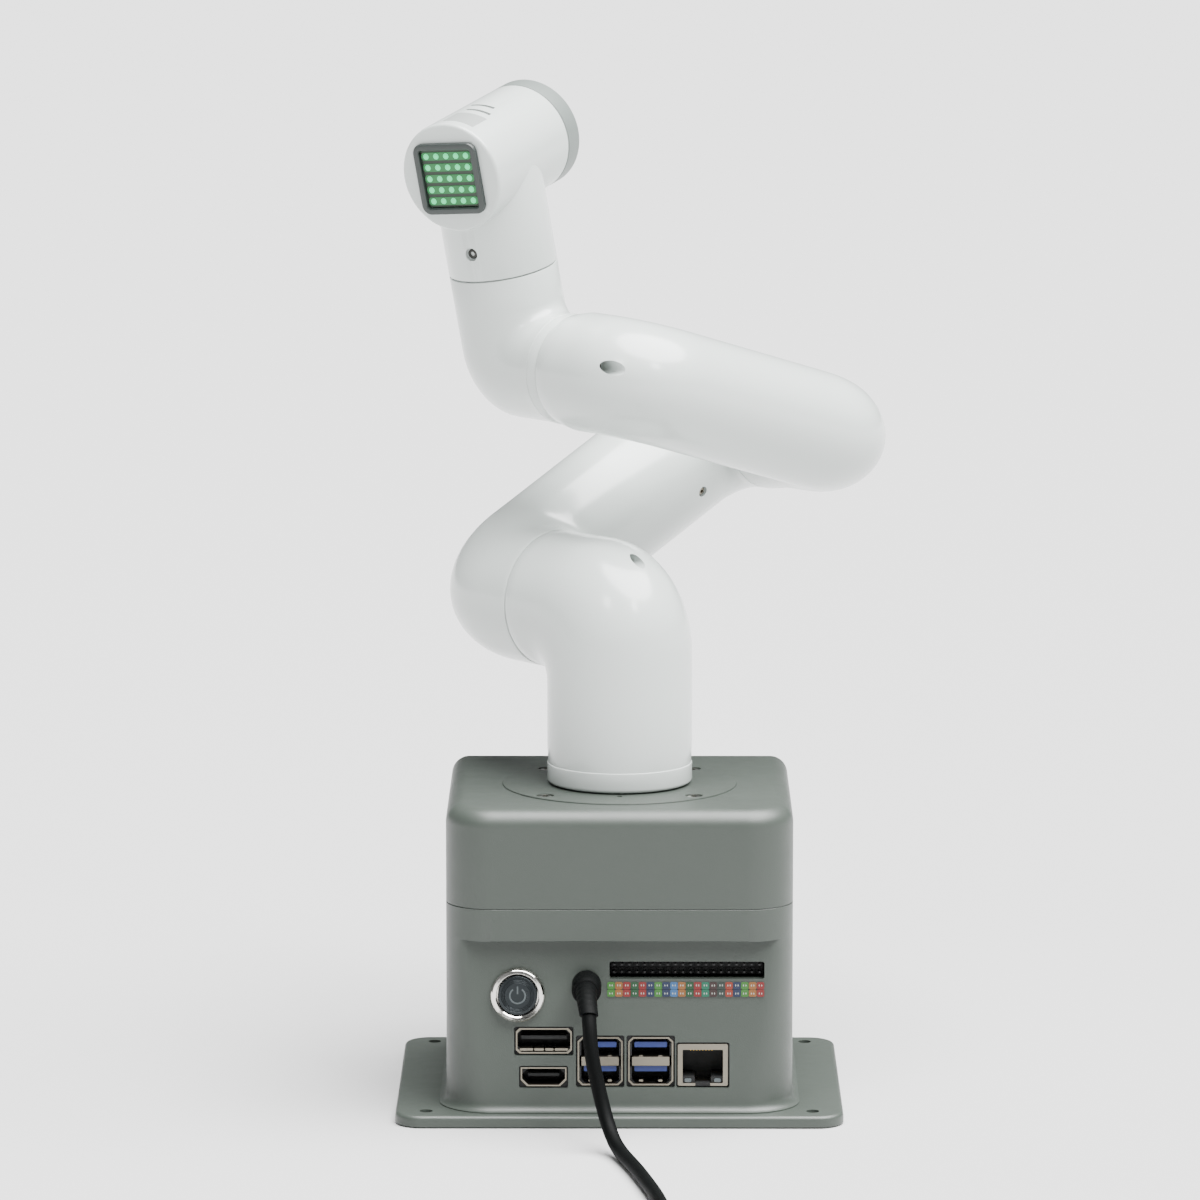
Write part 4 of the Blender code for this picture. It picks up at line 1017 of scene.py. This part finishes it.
def build_flange():
    bm = bmesh.new()
    low, high = HEAD_FRONT + 0.3, FLANGE_END
    skirt = low - FLANGE_SKIRT
    profile = [(0, low), (HEAD_R - WALL, low), (HEAD_R - WALL, skirt)]
    profile += [(HEAD_R - 0.25, skirt), (HEAD_R, skirt + 0.3)]
    for a in quarter_turn(5):
        profile.append((HEAD_R - 0.8 + 0.8 * cos(a), high - 0.8 + 0.8 * sin(a)))
    profile += [(9.0, high), (8.6, high - 0.4), (0, high - 0.4)]
    turned(bm, profile, sides=128)
    flange = make("tool_flange_fine", bm, [FLANGE], "flange", ["tool_flange"])
    tools = bmesh.new()
    for turn in range(FLANGE_HOLES):
        a = radians(45 + 90 * turn)
        centre = polar(FLANGE_CIRCLE_R, a, high - FLANGE_HOLE_DEPTH)
        turned(tools, rod(FLANGE_HOLE_R, 0, 6), centre, sides=32)
    carve(flange, tools, FRAMES["flange"])


# ---- power lead


def smooth_route(route, steps=2):
    """Points along a Catmull-Rom curve through the route."""
    places = [Vector(p) for p in route]
    places = [2 * places[0] - places[1]] + places + [2 * places[-1] - places[-2]]
    points = []
    for before, start, end, after in zip(places, places[1:], places[2:], places[3:]):
        for i in range(steps):
            t = i / steps
            pull = 2 * before - 5 * start + 4 * end - after
            swing = 3 * start - before - 3 * end + after
            points.append(0.5 * (2 * start + (end - before) * t + pull * t**2 + swing * t**3))
    points.append(places[-2])
    return points


def eased(t, start, stop):
    u = max(0.0, min(1.0, (t - start) / (stop - start)))
    return u * u * (3 - 2 * u)


def coil_points():
    """Two layers of turns: inwards on the floor, up at the middle, outwards on top.

    Every turn steps sideways by one diameter at the same place, so that no two of them meet.
    """
    x, y = COIL_CENTRE
    inner, pitch = COIL_TURN_R[0], 2 * CORD_R
    turns, each = 5.25, 36
    points = []
    for i in range(1, int(turns * each) + 1):
        t = i / each
        if t < 2.85:
            radius = COIL_TURN_R[-1] - pitch * (eased(t, 0.83, 1.0) + eased(t, 1.83, 2.0))
        else:
            radius = inner + pitch * (eased(t, 3.43, 3.62) + eased(t, 4.43, 4.62))
        z = CORD_R + pitch * eased(t, 2.62, 2.85)
        a = -2 * pi * t
        points.append(Vector((x + radius * cos(a), y + radius * sin(a), z)))
    return points


def build_lead():
    turn_y = COIL_CENTRE[1] - COIL_TURN_R[-1]
    left = COIL_CENTRE[0]
    entry = [Vector((COIL_CENTRE[0] + COIL_TURN_R[-1], y, CORD_R)) for y in (-225.0, -231.0, -236.0)]
    tail = [(left - 6, turn_y, 7.1), (left - 12, turn_y, 6.7), (left - 18, turn_y, 6.0)]
    tail += [(left - 21, turn_y, 5.4), (left - 24, turn_y, 5.0), (left - 30, turn_y, 4.9)]
    points = smooth_route(CORD_ROUTE) + entry + coil_points() + [Vector(p) for p in tail]
    curve = bpy.data.curves.new("power_lead", "CURVE")
    curve.dimensions = "3D"
    spline = curve.splines.new("POLY")
    spline.points.add(len(points) - 1)
    for target, place in zip(spline.points, points):
        target.co = (*(place * MM), 1)
    curve.bevel_depth = CORD_R * MM
    curve.bevel_resolution = 6
    curve.use_fill_caps = True
    curve.materials.append(CORD)
    lead = new_object("power_lead", curve)
    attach(lead, "root")
    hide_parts("power_cord", "cord_coil", "cord_tail")
    plug, relief = build_plug()
    connector = build_connector(left - 24.3, turn_y)
    tie = build_tie()


def build_tie():
    """A hook-and-loop band round the coil's turns."""
    x, y = COIL_CENTRE
    inner = (x - COIL_TURN_R[-1] - CORD_R - 0.1, x - COIL_TURN_R[0] + CORD_R + 0.25, -0.02, 4 * CORD_R + 0.1)
    thick = 0.16
    outer = (inner[0] - thick, inner[1] + thick, inner[2] - thick, inner[3] + thick)
    bm = bmesh.new()
    hollow_prism(bm, cut_outline(*outer, 1.2), cut_outline(*inner, 1.1), y - 3, y + 3)
    return make("coil_tie", bm, [DARK], "root")


def build_plug():
    """The moulded plug in its socket, and the ribbed relief that droops from it."""
    x, z = JACK
    shoulder, length = panel_y(z) - 0.6, 12.6
    bm = bmesh.new()
    profile = [(0, -9), (2.7, -9), (2.7, 0), (4.4, 0), (4.8, 0.4), (4.9, 1.2), (4.9, length - 3.0)]
    profile += [(4.7, length - 1.5), (4.2, length - 0.4), (3.4, length), (0, length)]
    turned(bm, profile, (x, shoulder, z), (0, -1, 0), 64)
    plug = make("dc_plug_fine", bm, [CORD], "root", ["dc_plug"])
    start = Vector((x, shoulder - length - GAP, z))
    end = Vector(CORD_ROUTE[0]) + Vector((0, 0.25, 0.3))
    heading = (Vector(CORD_ROUTE[0]) - Vector(CORD_ROUTE[1])).normalized()
    rings = []
    steps = 30
    for i in range(steps + 1):
        t = i / steps
        control = start + Vector((0, -9, 0))
        middle = start * (1 - t) ** 2 + control * (2 * t * (1 - t)) + end * t**2
        way = Vector((0, 1, 0)).lerp(heading, t).normalized()
        across = Vector((1, 0, 0))
        radius = 3.6 - 0.5 * t - (0.1 if i % 5 in (2, 3) and 3 < i < 27 else 0)
        rings.append(circle(middle, across, way.cross(across).normalized(), radius, 48))
    bm = bmesh.new()
    loft(bm, rings)
    relief = make("strain_relief_fine", bm, [CORD], "root", ["strain_relief"])
    return plug, relief


def build_connector(x, y):
    bm = bmesh.new()
    profile = [(0, 0), (2.7, 0), (3.0, 1), (4.2, 3.5), (4.7, 5), (4.8, 6)]
    for i in range(5):
        start = 8 + 2.4 * i
        profile += [(4.8, start), (4.6, start + 0.3), (4.6, start + 0.9), (4.8, start + 1.2)]
    profile += [(4.8, 23.6), (4.5, 24), (3.1, 24), (3.1, 16), (0, 16)]
    turned(bm, profile, (x, y, 4.9), (-1, 0, 0), 64)
    return make("lead_connector_fine", bm, [CORD], "root", ["lead_connector"])


# ---- stage


def build_camera():
    camera = bpy.data.cameras.new("camera")
    camera.lens, camera.sensor_width = CAMERA_LENS, CAMERA_SENSOR
    camera.clip_end = CAMERA_REACH
    obj = new_object("camera", camera)
    obj.location = CAMERA_PLACE
    obj.rotation_euler = (radians(CAMERA_TILT), 0, radians(CAMERA_TURN))
    bpy.context.scene.camera = obj


def window_light(name, place, power):
    light = bpy.data.lights.new(name, "AREA")
    light.shape = "RECTANGLE"
    light.size, light.size_y = WINDOW_SIZE
    light.energy = power
    obj = new_object(name, light)
    obj.location = place
    obj.rotation_euler = (Vector(WINDOW_AIM) - Vector(place)).to_track_quat("-Z", "Y").to_euler()


def build_stage():
    material, nodes, links = new_material("floor")
    shader = nodes["Principled BSDF"]
    shader.inputs["Roughness"].default_value = 0.9
    shader.inputs["Base Color"].default_value = (0.46, 0.46, 0.46, 1)
    mesh = bpy.data.meshes.new("floor")
    mesh.from_pydata([(x, y, 0) for x, y in square(FLOOR_HALF)], [], [(0, 1, 2, 3)])
    mesh.materials.append(material)
    floor = new_object("floor", mesh)
    floor.location.z = FLOOR_Z
    world = bpy.data.worlds.new("studio")
    bpy.context.scene.world = world
    world.use_nodes = True
    sky = world.node_tree.nodes["Background"]
    sky.inputs["Color"].default_value = (0.96, 0.98, 1.0, 1)
    sky.inputs["Strength"].default_value = SKY_STRENGTH
    sun = bpy.data.lights.new("overhead", "SUN")
    sun.energy = SUN_ENERGY
    sun.angle = radians(SUN_ANGLE)
    overhead = new_object("overhead", sun)
    overhead.rotation_euler = (radians(SUN_TURN[0]), radians(SUN_TURN[1]), 0)
    window_light("window_left", (-0.55, -1.1, 1.25), 5)
    window_light("window_right", (0.6, -1.1, 1.25), 7)


def dress_carried_nodes():
    for material, names in CARRIED_NODES:
        for name in names:
            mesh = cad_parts[name].data
            mesh.materials.clear()
            mesh.materials.append(material)


def build_ring_screws():
    for number, (x, y) in enumerate(ring_screw_places(), 1):
        name, seat = f"ring_screw_head_{number}", (x, y, RING_TOP - 0.25)
        build_screw(name, "root", seat, (0, 0, 1), 2.5, [f"ring_screw_{number}"], CHROME)


def main():
    build_camera()
    build_lead()
    build_lower_shell()
    build_foot_plate()
    build_upper_cover()
    build_ring()
    build_ring_screws()
    build_usb_stack("usb_stack_left")
    build_usb_stack("usb_stack_right")
    build_hdmi()
    build_display_port()
    build_ethernet()
    build_header()
    build_label()
    build_button()
    build_column()
    build_link2()
    build_link3()
    build_link4()
    build_head()
    build_display()
    build_flange()
    dress_carried_nodes()
    build_stage()


main()
